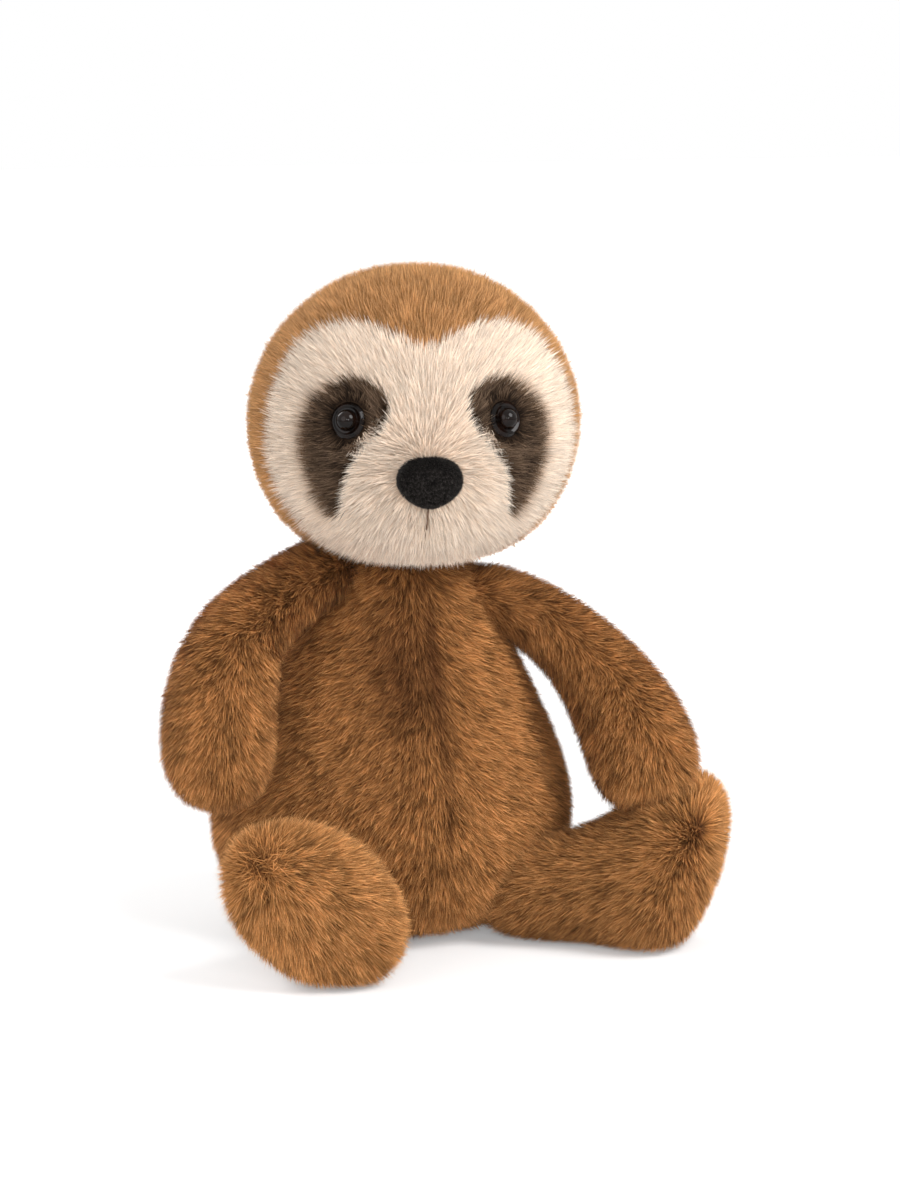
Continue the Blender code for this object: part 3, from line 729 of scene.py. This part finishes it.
def legHeight(row):
    if row[0] <= 0.0:
        return (leg["hipRadius"] - leg["groundCut"]) * mm
    roll = math.radians(leg["roll"])
    tall, wide = row[2] * leg["halfHeight"] * math.cos(roll), row[1] * leg["halfWidth"] * math.sin(roll)
    return (leg["settle"] * math.hypot(tall, wide) - leg["groundCut"]) * mm


def legSide(word):
    return 1.0 if word == "left" else -1.0


def legTurn(word):
    return Matrix.Rotation(legSide(word) * math.radians(leg["degrees"][word]), 4, "Z")


def armPoints(word):
    centre = hinges["arm_" + word]
    reach = (arm["length"] * mm, arm["length"] * mm, centre.z - legHeight(leg["rings"][word][2]))
    points = [centre + Vector(a * b for a, b in zip(share, reach)) for share in arm[word]]
    inward = (Vector((0.0, torso["sideSeam"] * mm, centre.z)) - centre).normalized()
    root = centre + inward * arm["rootReach"][word] * mm
    return [root + upward * arm["rootRise"] * mm] + points


def armSkin(word, inset, levels):
    points = armPoints(word)
    rings = []
    for i, point in enumerate(points):
        along = points[min(i + 1, len(points) - 1)] - points[max(i - 1, 0)]
        drawIn = -inset if i == len(points) - 1 else 0.0
        radius = arm["widths"][i] * arm["radius"] * mm - inset
        rings.append(ringMatrix(point + along.normalized() * drawIn, along, backward, radius, radius))
    return subdivided(cage(rings, arm["sides"]), "armSkin", levels)


def legSkin(word, inset, levels):
    centre = hinges["leg_" + word]
    turn = legTurn(word)
    rolled = Matrix.Rotation(legSide(word) * math.radians(leg["roll"]), 4, "Y")
    rings = []
    for i, (along, wideShare, tallShare, tilt) in enumerate(leg["rings"][word]):
        wide, tall = wideShare * leg["halfWidth"] * mm, tallShare * leg["halfHeight"] * mm
        drawIn = -inset if i == len(leg["rings"][word]) - 1 else 0.0
        place = turn @ Vector((0.0, -along * leg["length"] * mm - drawIn, 0.0))
        place = Vector((centre.x + place.x, centre.y + place.y, legHeight((along, wideShare, tallShare))))
        lean = Matrix.Rotation(-math.radians(tilt), 4, "X")
        flat = ringMatrix(Vector(), -backward, upward, wide - inset, tall - inset)
        rings.append(Matrix.Translation(place) @ turn @ rolled @ lean @ flat)
    return subdivided(cage(rings, leg["sides"]), "legSkin", levels)


def makeSkins(levels=4):
    inset = pile["skinDepth"] * mm
    skins = {"torso": torsoSkin(inset, levels), "head": headSkin(inset, levels)}
    skins["head"].transform(headFrame)
    for word in ("left", "right"):
        skins["arm_" + word] = armSkin(word, inset, levels)
        skins["leg_" + word] = legSkin(word, inset, levels)
    return skins


skins = makeSkins()
trees = {name: treeOf(skin) for name, skin in skins.items()}
print("skins made")


def uncovered(name, carry, overlaps):
    points = vertexArray(skins[name])
    keep = True
    for other, overlap in overlaps.items():
        depth = depthInside(points, other)
        if depth.max() > 0.0:
            keep = keep & (carry(depth)[:, 0] < overlap * mm)
    return keep


def makeTorso():
    roots, outward, carry = plantRoots(skins["torso"], pile["density"])
    overlaps = dict.fromkeys(("arm_left", "arm_right", "leg_left", "leg_right"), pile["overlap"])
    keep = uncovered("torso", carry, {**overlaps, "head": torso["headOverlap"]}) & ~resting(outward)
    roots, outward = roots[keep], outward[keep]
    seam = torso["sideSeam"] * mm
    fan = np.clip(roots[:, 0] / (torso["fanWidth"] * mm), -1.0, 1.0)
    fan = fan * (torso["fan"][0] + torso["fan"][1] * fade(torso["front"], -roots[:, 1]))
    flow = np.stack([fan, np.zeros(len(roots)), np.full(len(roots), -1.0)], axis=1)
    under = outward[:, 2] < torso["underneath"]
    flow[under] = roots[under] * (1.0, 1.0, 0.0)
    # painted shade: the chest darkens under the head and between the arms, where the pile also parts
    place, size = (np.array(torso["paintedChestShade"][word]) * mm for word in ("place", "size"))
    paintedChestShade = np.exp(-(((roots[:, (0, 2)] - place) / size) ** 2).sum(axis=1))
    seamLine = np.exp(-(roots[:, 0] / (torso["seam"]["width"] * mm)) ** 2)
    seamLine = seamLine * fade(torso["seam"]["rise"], roots[:, 2])
    # the painted chest shade plus the darker seam line, on the front only
    shade = torso["paintedChestShade"]["shade"] * paintedChestShade + torso["seam"]["shade"] * seamLine
    shade = shade * fade(torso["shaded"], -roots[:, 1])
    front, right = roots[:, 1] < seam, roots[:, 0] < 0.0
    panels = (
        ("torsoFrontLeft", "torso_front_left_panel", front & ~right,
         [((0, seam, 0), (0, 1, 0)), ((0, 0, 0), (-1, 0, 0))]),
        ("torsoFrontRight", "torso_front_right_panel", front & right,
         [((0, seam, 0), (0, 1, 0)), ((0, 0, 0), (1, 0, 0))]),
        ("torsoBack", "torso_back_panel", ~front, [((0, seam, 0), (0, -1, 0))]),
    )
    for name, node, chosen, cuts in panels:
        bm = bmesh.new()
        bm.from_mesh(skins["torso"])
        for at, normal in cuts:
            cutAway(bm, at, normal)
        turnIn(bm)
        skin = meshFrom(bm, name + "Skin")
        item = growPile(name, skin, roots[chosen], outward[chosen], flow[chosen], caramel,
                        shade=shade[chosen])
        finishPiece(item, "torso", node)


makeTorso()
print("torso furred")

# Face: the pile fans out from the nose, over the cheeks and the brow

cream = {
    "root": (0.66, 0.49, 0.36),
    "middle": (0.87, 0.70, 0.55),
    "tip": (0.98, 0.86, 0.73),
    "shade": (0.30, 0.17, 0.09),
    "spread": 0.50, "mottle": 0.25, "patchScale": 60.0, "sheen": 0.08,
    "sheenTint": (1.0, 0.93, 0.85),
    "swing": 13.0, "lockPull": 0.30,
}
dark = {
    "root": (0.018, 0.010, 0.006),
    "middle": (0.058, 0.035, 0.021),
    "tip": (0.19, 0.125, 0.082),
    "shade": (0.22, 0.135, 0.08),
    "spread": 1.5, "mottle": 0.6, "patchScale": 80.0, "sheen": 0.1,
    "sheenTint": (1.0, 0.85, 0.7),
}
eye = {
    "side": 24.8, "height": 2.2, "radius": 5.6, "sink": 2.6,
    "domeRadius": 3.25, "domeHeight": 3.1, "domeBase": 0.9, "domeSteps": 14,
    "flange": ((0.10, 0.75), (0.85, 0.75), (1.10, 1.00), (1.38, 1.00), (1.60, 0.70)),  # past the dome, up
    "rim": ((-0.12, 0.35), (0.0, 0.10), (-0.1, -0.25), (-1.1, -1.3)),  # past the radius, up
    "shankRadius": 1.7, "shankTop": 1.3, "shankLength": 5.5, "ribs": 5,
    "rib": ((0.0, 0.35), (-0.25, 0.15), (0.0, 0.0)),
    "steps": 72,
    "colours": ((0.0025, 0.0012, 0.0008, 1.0), (0.012, 0.005, 0.003, 1.0)),
}
nose = {
    "halfWidth": 10.4, "halfHeight": 8.3, "depth": 4.6, "drop": 15.0,
    "low": 1.5,  # the pad sits this much lower than its solid
    "sink": 0.4,
    "trim": (0.8, 0.5),  # room for the nap, across and up
    "rings": ((-1.7, 0.84), (0.30, 1.06), (0.85, 0.80), (1.0, 0.35)),  # out, size
    "corners": (0.90, 1.08, 1.00, 0.86, 0.98, 0.86, 1.00, 1.08),
}
thread = {"roughness": 0.7, "scale": 2600.0, "detail": 2.0, "bump": 0.4, "bumpHeight": 0.08 * mm}
mouth = {
    **thread,
    "colours": ((0.10, 0.05, 0.03), (0.24, 0.14, 0.085)),
    "gap": 0.2, "length": 9.0, "radius": 0.30, "plyRadius": 0.62,
    "plyAside": 0.45, "sink": 1.0, "plies": 2, "turns": 9.0,
    "steps": 60,
}
comb = {  # how the head's pile lies and where it is trimmed or darker, in millimetres or shares
    "density": 0.985, "torsoOverlap": 4.0,
    "source": 12.0,  # the fan spreads from a point this far behind the nose
    "behind": (-5.0, 30.0),  # where the pile begins to hang down instead
    "fanBehind": 0.2,
    "eyeFan": (5.5, 11.0),
    "eyeTrim": (5.5, 10.0),
    "eyeLength": 0.55, "eyeBare": 0.1,
    "eyeClear": 1.2,  # strands that come nearer the rim than this are cut
    "eyeReach": 0.72, "eyeCut": 0.45,
    "noseFront": (20.0, 0.82),
    "noseTrim": (0.85, 1.6),
    "noseLength": 0.60, "parting": 0.45, "partingShort": 1.0,
    "shown": 0.62,  # where along a strand its colour shows most
    "straggle": 0.008, "tip": 0.95,
    "patchCut": 0.62,  # cream strands that would reach over a patch
    "crown": (0.25, 0.75),
    "crownFront": (0.0, 30.0),
    "outer": (0.50, 0.62),
    "shades": (0.10, 0.45, 0.5),  # painted shade on the top front of the head, then cream beside a patch, edge of a patch
    "shadeWidths": (3.0, 2.5),
    "tangle": (-12.0, 4.0, 18.0, 32.0),
}
headCloth = treeOf(headSkin(0.0, 2))  # the fur's own height, in the head's own frame


def facePoint(right, up):
    point, normal, _, _ = headCloth.ray_cast(Vector((right, -0.4, up)), backward)
    return point, normal


def facing(direction, at):
    return Matrix.Translation(at) @ direction.to_track_quat("Z", "Y").to_matrix().to_4x4()


def eyeFrame(side):
    point, normal = facePoint(side * eye["side"] * mm, eye["height"] * mm)
    return headFrame @ facing(normal, point - normal * eye["sink"] * mm)


nosePoint, noseNormal = facePoint(0.0, -nose["drop"] * mm)
noseNormal = Vector((0.0, noseNormal.y, noseNormal.z)).normalized()


def combHead(roots, outward):
    local = inHead(roots)
    source = np.array(headFrame @ (nosePoint - noseNormal * comb["source"] * mm))
    behind = fade(comb["behind"], local[:, 1])[:, None]
    flow = unit(roots - source) * (1.0 - (1.0 - comb["fanBehind"]) * behind)
    flow = flow + np.array((0.0, 0.0, -1.0)) * behind
    length, keep = np.ones(len(roots)), np.ones(len(roots), bool)
    for side in (-1.0, 1.0):
        centre = np.array(eyeFrame(side).translation)
        away = roots - centre
        gap = np.linalg.norm(away, axis=1)
        close = 1.0 - fade(comb["eyeFan"], gap)[:, None]
        flow = flow * (1.0 - close) + unit(away) * close
        length *= comb["eyeLength"] + (1.0 - comb["eyeLength"]) * fade(comb["eyeTrim"], gap)
        keep &= gap > (eye["radius"] + comb["eyeBare"]) * mm
        flow = unit(alongSkin(flow, outward))
        reach = np.linalg.norm(strandPoints(roots, flow, length, comb["eyeReach"]) - centre, axis=1)
        length *= np.where(reach < (eye["radius"] + comb["eyeClear"]) * mm, comb["eyeCut"], 1.0)
    noseCentre = np.array(nosePoint) - (0.0, 0.0, nose["low"] * mm)
    off = (local - noseCentre)[:, (0, 2)] / np.array((nose["halfWidth"], nose["halfHeight"])) / mm
    around = np.linalg.norm(off, axis=1)
    front, bare = comb["noseFront"]
    inFront = local[:, 1] < -front * mm
    keep &= ~(inFront & (around < bare))
    trimmed = comb["noseLength"] + (1.0 - comb["noseLength"]) * smoothStep(*comb["noseTrim"], around)
    length *= np.where(inFront, trimmed, 1.0)
    below = (noseCentre[2] - local[:, 2]) / mm - nose["halfHeight"]
    parting = inFront & (np.abs(local[:, 0]) < comb["parting"] * mm)
    keep &= ~(parting & (below > 0.0) & (below < mouth["length"] - comb["partingShort"]))
    return unit(alongSkin(flow, outward)), length, keep


def strandPoints(roots, flow, length, share):
    return roots + flow * pile["length"] * share * mm * length[:, None]


def headPart(name, regions):
    bm = bmesh.new()
    bm.from_mesh(skins["head"])
    bm.faces.ensure_lookup_table()
    gone = [bm.faces[int(i)] for i in np.nonzero(~regions[name])[0]]
    bmesh.ops.delete(bm, geom=gone, context="FACES")
    turnIn(bm)
    return meshFrom(bm, name + "Skin")


def makeHead():
    roots, outward, carry = plantRoots(skins["head"], comb["density"] * pile["density"])
    keep = uncovered("head", carry, {"torso": comb["torsoOverlap"]})
    roots, outward = roots[keep], outward[keep]
    local = inHead(roots)
    flow, length, keep = combHead(roots, outward)
    shares = faceShares(inHead(strandPoints(roots, flow, length, comb["shown"])))
    shares = shares + rng.normal(0.0, comb["straggle"], (len(roots), 2))
    regions = regionsOf(shares)
    tips = regionsOf(faceShares(inHead(strandPoints(roots, flow, length, comb["tip"]))))
    overPatch = regions["facePanel"] & (tips["eyePatchLeft"] | tips["eyePatchRight"])
    length = np.where(overPatch, comb["patchCut"] * length, length)

    # painted shade: the top front of the head is made darker than its rims, which edge-on fur shows paler
    crown = smoothStep(*comb["crown"], local[:, 2] / (head["halfHeight"] * mm))
    crown = crown * fade(comb["crownFront"], -local[:, 1])
    leftGap, rightGap = (outlineGap(shares, outlines[word]) for word in ("left", "right"))
    outer = smoothStep(*comb["outer"], np.abs(shares[:, 0]))
    creamWidth, darkWidth = comb["shadeWidths"]
    beside = outer * (1.0 - smoothStep(0.0, creamWidth, np.minimum(leftGap, rightGap)))
    leftEdge, rightEdge = (outer * (1.0 - smoothStep(0.0, darkWidth, gap)) for gap in (leftGap, rightGap))
    crownShade, creamShade, darkShade = comb["shades"]
    panels = (
        ("headBack", "head_back_panel", litHeadLook, crownShade * crown, "caramel_plush"),
        ("facePanel", "face_panel", cream, creamShade * beside, "cream_plush"),
        ("eyePatchLeft", "eye_patch_left", dark, darkShade * leftEdge, "dark_plush"),
        ("eyePatchRight", "eye_patch_right", dark, darkShade * rightEdge, "dark_plush"),
    )
    centres = np.empty(len(skins["head"].polygons) * 3, np.float32)
    skins["head"].polygons.foreach_get("center", centres)
    skinRegions = regionsOf(faceShares(inHead(centres.reshape(-1, 3))))
    tangle = fade(comb["tangle"][:2], local[:, 1]) * (1.0 - fade(comb["tangle"][2:], local[:, 1]))
    for name, node, look, shade, slotName in panels:
        chosen = regions[name] & keep
        skin = headPart(name, skinRegions)
        item = growPile(name, skin, roots[chosen], outward[chosen], flow[chosen], look,
                        lengthShare=length[chosen], shade=shade[chosen], tangle=tangle[chosen])
        finishPiece(item, "head", node)


makeHead()
print("head furred")

# Arms and legs: a furred cover and a fibre filling each

legLook = {**caramel, "middle": (0.42, 0.17, 0.05), "tip": (0.68, 0.335, 0.125)}
limb = {
    "density": 1.25,
    "shaded": (5.0, 40.0),  # painted shade: the pile is darker towards the seam with the torso, where shade falls
    "shade": {"arm_left": 0.30, "arm_right": 0.12, "leg_left": 0.30, "leg_right": 0.10},
}
filling = {
    "inset": 7.0, "levels": 3,
    "colours": ((0.72, 0.71, 0.68), (0.92, 0.91, 0.88)),
    "scale": 350.0, "detail": 5.0, "bump": 0.9,
    "bumpHeight": 0.5 * mm,
    "roughness": 0.95,
}


def limbAlong(kind, word):
    if kind == "arm":
        return (armPoints(word)[2] - hinges["arm_" + word]).normalized()
    return legTurn(word) @ -backward


def armFlow(word, roots):
    path = np.array(armPoints(word))
    flow = np.zeros_like(roots)
    best = np.full(len(roots), np.inf)
    for a, b in zip(path, path[1:]):
        t = np.clip(((roots - a) @ (b - a)) / ((b - a) @ (b - a)), 0.0, 1.0)
        spoke = roots - a - t[:, None] * (b - a)
        gap = np.linalg.norm(spoke, axis=1)
        along = unit(b - a)
        across = unit(np.cross(along, (0.0, -1.0, 0.0)))
        fan = np.clip((spoke @ across) / (arm["fanWidth"] * mm), -1.0, 1.0)
        closer = gap < best
        flow[closer] = (along + arm["fan"] * fan[:, None] * across)[closer]
        best = np.minimum(best, gap)
    return flow, 0.0


def legFlow(word, roots):
    whorl, along = leg["whorl"], limbAlong("leg", word)
    toe = hinges["leg_" + word] + along * whorl["along"] * leg["length"] * mm + upward * whorl["up"] * mm
    toe = toe + legTurn(word) @ Vector((whorl["aside"] * mm, 0, 0))
    offset = roots - np.array(toe)
    tangle = 1.0 - fade(whorl["size"], np.linalg.norm(offset, axis=1))
    return unit(offset) - leg["drawBack"] * np.array(along), tangle


limbs = {"arm": (arm, caramel, armFlow, armSkin), "leg": (leg, legLook, legFlow, legSkin)}


def makeLimb(kind, word):
    name, piece = kind + "_" + word, kind + word.capitalize()
    form, look, combed, formSkin = limbs[kind]
    centre, along = hinges[name], limbAlong(kind, word)
    roots, outward, carry = plantRoots(skins[name], limb["density"] * pile["density"])
    keep = uncovered(name, carry, {"torso": pile["overlap"]})
    keep &= ~resting(outward, roots[:, 2] < pile["restHeight"] * mm)
    roots, outward = roots[keep], outward[keep]
    flow, tangle = combed(word, roots)
    reach = (roots - np.array(centre)) @ np.array(along)
    # painted shade: darkest where the limb meets the torso, fading out towards the paw or foot
    shade = limb["shade"][name] * (1.0 - fade(limb["shaded"], reach))
    item = growPile(piece, skins[name], roots, outward, flow, look, shade=shade, tangle=tangle)
    near, far = (reach * mm for reach in form["blend"])
    start, end = centre - along * near, centre + along * far
    finishPiece(item, ("torso", name, start, end), name + "_cover")

    bm = bmesh.new()
    bm.from_mesh(formSkin(word, filling["inset"] * mm, filling["levels"]))
    cutAway(bm, centre, -along)
    bmesh.ops.holes_fill(bm, edges=[e for e in bm.edges if e.is_boundary])
    bmesh.ops.recalc_face_normals(bm, faces=bm.faces)
    fibre = mottledMaterial(piece + "FillingFibre", filling)
    finishSolid(bm, piece + "Filling", fibre, name + "_stuffing", name)


for word, kind in itertools.product(("left", "right"), limbs):
    makeLimb(kind, word)
print("limbs furred")

# Eyes: a glossy dome on a stepped flange, on a ribbed shank


def eyeMaterial():
    material, tree, shader = newMaterial("eyePlastic", Specular_IOR_Level=0.20)
    place = wire(tree, "ShaderNodeTexCoord").outputs["Object"]
    colour = mixColour(tree, rampValue(tree, noise(tree, place, 260.0), 0.35, 0.75), *eye["colours"])
    rough = rampValue(tree, noise(tree, place, 1900.0), 0.4, 0.8, 0.03, 0.07)
    feed(tree, shader, {"Base Color": colour, "Roughness": rough})
    return material


def eyeProfile():
    dome, shank = eye["domeRadius"], eye["shankRadius"]
    profile = []
    for k in range(eye["domeSteps"] + 1):
        turn = math.pi / 2.0 * k / eye["domeSteps"]
        profile.append((dome * math.sin(turn), eye["domeBase"] + eye["domeHeight"] * math.cos(turn)))
    profile += [(dome + out, up) for out, up in eye["flange"]]
    profile += [(eye["radius"] + out, up) for out, up in eye["rim"]]
    profile.append((shank, -eye["shankTop"]))
    for k in range(eye["ribs"]):
        low = -eye["shankTop"] - (eye["shankLength"] - eye["shankTop"]) * (k + 1) / eye["ribs"]
        profile += [(shank + out, low + up) for out, up in eye["rib"]]
    return profile + [(0.0, -eye["shankLength"])]


def makeEyes():
    material = eyeMaterial()
    for side, word in ((1.0, "left"), (-1.0, "right")):
        bm = bmesh.new()
        verts = [bm.verts.new((r * mm, 0.0, z * mm)) for r, z in eyeProfile()]
        for pair in zip(verts, verts[1:]):
            bm.edges.new(pair)
        spun(bm, eye["steps"])
        bmesh.ops.transform(bm, verts=bm.verts, matrix=eyeFrame(side))
        name = "eye" + word.capitalize()
        finishSolid(bm, name, material, "eye_" + word, "head", sharpFrom=50.0)


makeEyes()

# Nose: a stuffed velour pad with a short nap

velour = {
    "root": (0.006, 0.005, 0.0045),
    "middle": (0.014, 0.012, 0.011),
    "tip": (0.058, 0.051, 0.047),
    "shade": (0.014, 0.012, 0.011),
    "spread": 1.8, "mottle": 1.5, "patchScale": 700.0, "sheen": 0.1,
    "sheenTint": (1.0, 0.95, 0.9),
    "density": 40.0, "length": 0.85, "width": 0.11, "lay": 52.0,
    "swing": 50.0, "lock": 0.8, "lockPull": 0.7, "lit": 0.75,
    "flow": (0.2, 0.0, -1.0),
}


def makeNose():
    rings = []
    base = nosePoint - upward * nose["low"] * mm
    for out, size in nose["rings"]:
        centre = base + noseNormal * (out * nose["depth"] - nose["sink"]) * mm
        wide = (size * nose["halfWidth"] - nose["trim"][0]) * mm
        tall = (size * nose["halfHeight"] - nose["trim"][1]) * mm
        rings.append(ringMatrix(centre, noseNormal, upward, wide, tall))
    skin = subdivided(cage(rings, head["sides"], nose["corners"]), "noseSkin", 4)
    skin.transform(headFrame)
    roots, outward, _ = plantRoots(skin, velour["density"])
    flow = np.tile(np.array(velour["flow"]), (len(roots), 1))
    item = growPile("nosePad", skin, roots, outward, flow, velour)
    finishPiece(item, "head", "nose")


makeNose()

# Mouth: a twisted thread laid down the chin


def makeMouth():
    top = nose["drop"] + nose["halfHeight"] + mouth["gap"]
    bm = bmesh.new()
    for ply in range(mouth["plies"]):
        rings = []
        for share in np.arange(mouth["steps"] + 1) / mouth["steps"]:
            point, normal = facePoint(0.0, -(top + mouth["length"] * share) * mm)
            turn = 2.0 * math.pi * (mouth["turns"] * share + ply / mouth["plies"])
            aside = Vector((math.cos(turn), 0.0, 0.0)) + normal * math.sin(turn)
            centre = point + (aside * mouth["plyAside"] * mouth["radius"] - normal * mouth["sink"]) * mm
            rings.append(facing(Vector((0.0, -normal.z, normal.y)), centre))
        section = bmesh.ops.create_circle(bm, segments=8, radius=mouth["plyRadius"] * mouth["radius"] * mm)
        sweep(bm, section["verts"], rings)
    bmesh.ops.transform(bm, verts=bm.verts, matrix=headFrame)
    material = mottledMaterial("mouthThread", mouth)
    finishSolid(bm, "mouthStitch", material, "mouth_stitch", "head")


makeMouth()
print("face pieces made")

# Neck seam: the closing thread, drawn tight under the pile

neckSeam = {
    **thread,
    "colours": ((0.05, 0.022, 0.010), (0.11, 0.05, 0.022)),
    "radius": 0.45, "tight": 3.2, "steps": 96,
}


def makeNeckSeam():
    low, high = (Vector(corner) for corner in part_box("neck_seam_thread"))
    wide, deep, _ = (high - low) / 2.0 - Vector((neckSeam["tight"], neckSeam["tight"], 0.0)) * mm
    bm = bmesh.new()
    bmesh.ops.create_circle(bm, segments=10, radius=neckSeam["radius"] * mm)
    upright = Matrix.Translation((wide, 0.0, 0.0)) @ Matrix.Rotation(math.pi / 2.0, 4, "X")
    bmesh.ops.transform(bm, verts=bm.verts, matrix=upright)
    spun(bm, neckSeam["steps"])
    bmesh.ops.scale(bm, verts=bm.verts, vec=(1.0, deep / wide, 1.0))
    bmesh.ops.translate(bm, verts=bm.verts, vec=(low + high) / 2.0)
    material = mottledMaterial("neckThread", neckSeam)
    finishSolid(bm, "neckSeam", material, "neck_seam_thread", "neck")


makeNeckSeam()

# Inner pieces keep their CAD shapes and get their own finishes

pouchCloth = {
    **filling, "colours": ((0.50, 0.46, 0.40), (0.66, 0.62, 0.55)), "scale": 900.0, "bump": 0.5,
    "roughness": 0.9,
}
washerPlastic = {
    **filling, "colours": ((0.62, 0.61, 0.58), (0.74, 0.73, 0.70)), "scale": 200.0, "bump": 0.1,
    "roughness": 0.45,
}
inside = {
    "stuffing": ("fibreFinish", filling),
    "pouch": ("clothFinish", pouchCloth),
    "washer": ("washerFinish", washerPlastic),
}


def finishInside():
    for word, (name, look) in inside.items():
        material = mottledMaterial(name, look)
        for item in (item for node, item in frame["nodes"].items() if word in node):
            for place in item.material_slots:
                place.material = material


finishInside()

# Studio

studio = {
    "lamps": {  # place, size, power
        "key": ((0.55, -1.0, 1.05), 0.9, 16.0),
        "fill": ((-1.1, -0.6, 0.6), 1.1, 4.0),
        "rim": ((-0.5, 1.0, 0.9), 0.9, 10.0),
        "sparkLeft": ((-0.50, -1.15, 0.52), 0.12, 1.7),  # small lamps that light up the eyes
        "sparkRight": ((-0.12, -1.2, 0.42), 0.12, 1.7),
    },
    "aim": Vector((0, 0, 0.1)),
    "world": 0.36, "floorSize": 6.0,
    "floorColour": (0.93, 0.93, 0.93, 1.0),
    "floorGlow": (0.25, 0.9, 0.28, 1.0),  # from one distance to another, from one strength to another
}


def makeLamps():
    for name, (place, size, power) in studio["lamps"].items():
        data = bpy.data.lights.new(name, "AREA")
        data.shape = "DISK"
        data.size = size
        data.energy = power
        lamp = linked(name, data)
        lamp.location = place
        lamp.rotation_euler = (studio["aim"] - Vector(place)).to_track_quat("-Z", "Y").to_euler()


def makeFloor():
    bm = bmesh.new()
    bmesh.ops.create_grid(bm, x_segments=1, y_segments=1, size=studio["floorSize"])
    floor = linked("paleFloor", meshFrom(bm, "paleFloor"))
    material, tree, shader = newMaterial(
        "paleFloor", Roughness=0.9, Base_Color=studio["floorColour"], Emission_Color=(1.0, 1.0, 1.0, 1.0))
    place = wire(tree, "ShaderNodeTexCoord").outputs["Object"]
    far = wire(tree, "ShaderNodeVectorMath", {0: place}, operation="LENGTH").outputs["Value"]
    path = wire(tree, "ShaderNodeLightPath").outputs
    seen = reckon(tree, "MULTIPLY", path["Is Camera Ray"], rampValue(tree, far, *studio["floorGlow"]))
    feed(tree, shader, {"Emission Strength": seen})
    floor.data.materials.append(material)


def makeWorld():
    world = bpy.data.worlds.new("studioWorld")
    bpy.context.scene.world = world
    world.use_nodes = True
    tree = world.node_tree
    path = wire(tree, "ShaderNodeLightPath").outputs
    seen = reckon(tree, "ADD", path["Is Camera Ray"], path["Is Glossy Ray"])
    seen = reckon(tree, "ADD", seen, path["Is Transmission Ray"], use_clamp=True)
    strength = wire(tree, "ShaderNodeMapRange", {"Value": seen, "To Min": studio["world"], "To Max": 1.0})
    glow = {"Color": (1.0, 1.0, 1.0, 1.0), "Strength": strength.outputs["Result"]}
    feed(tree, tree.nodes["Background"], glow)


makeLamps()
makeFloor()
makeWorld()
bpy.context.scene.view_settings.view_transform = "Standard"
print("studio set")
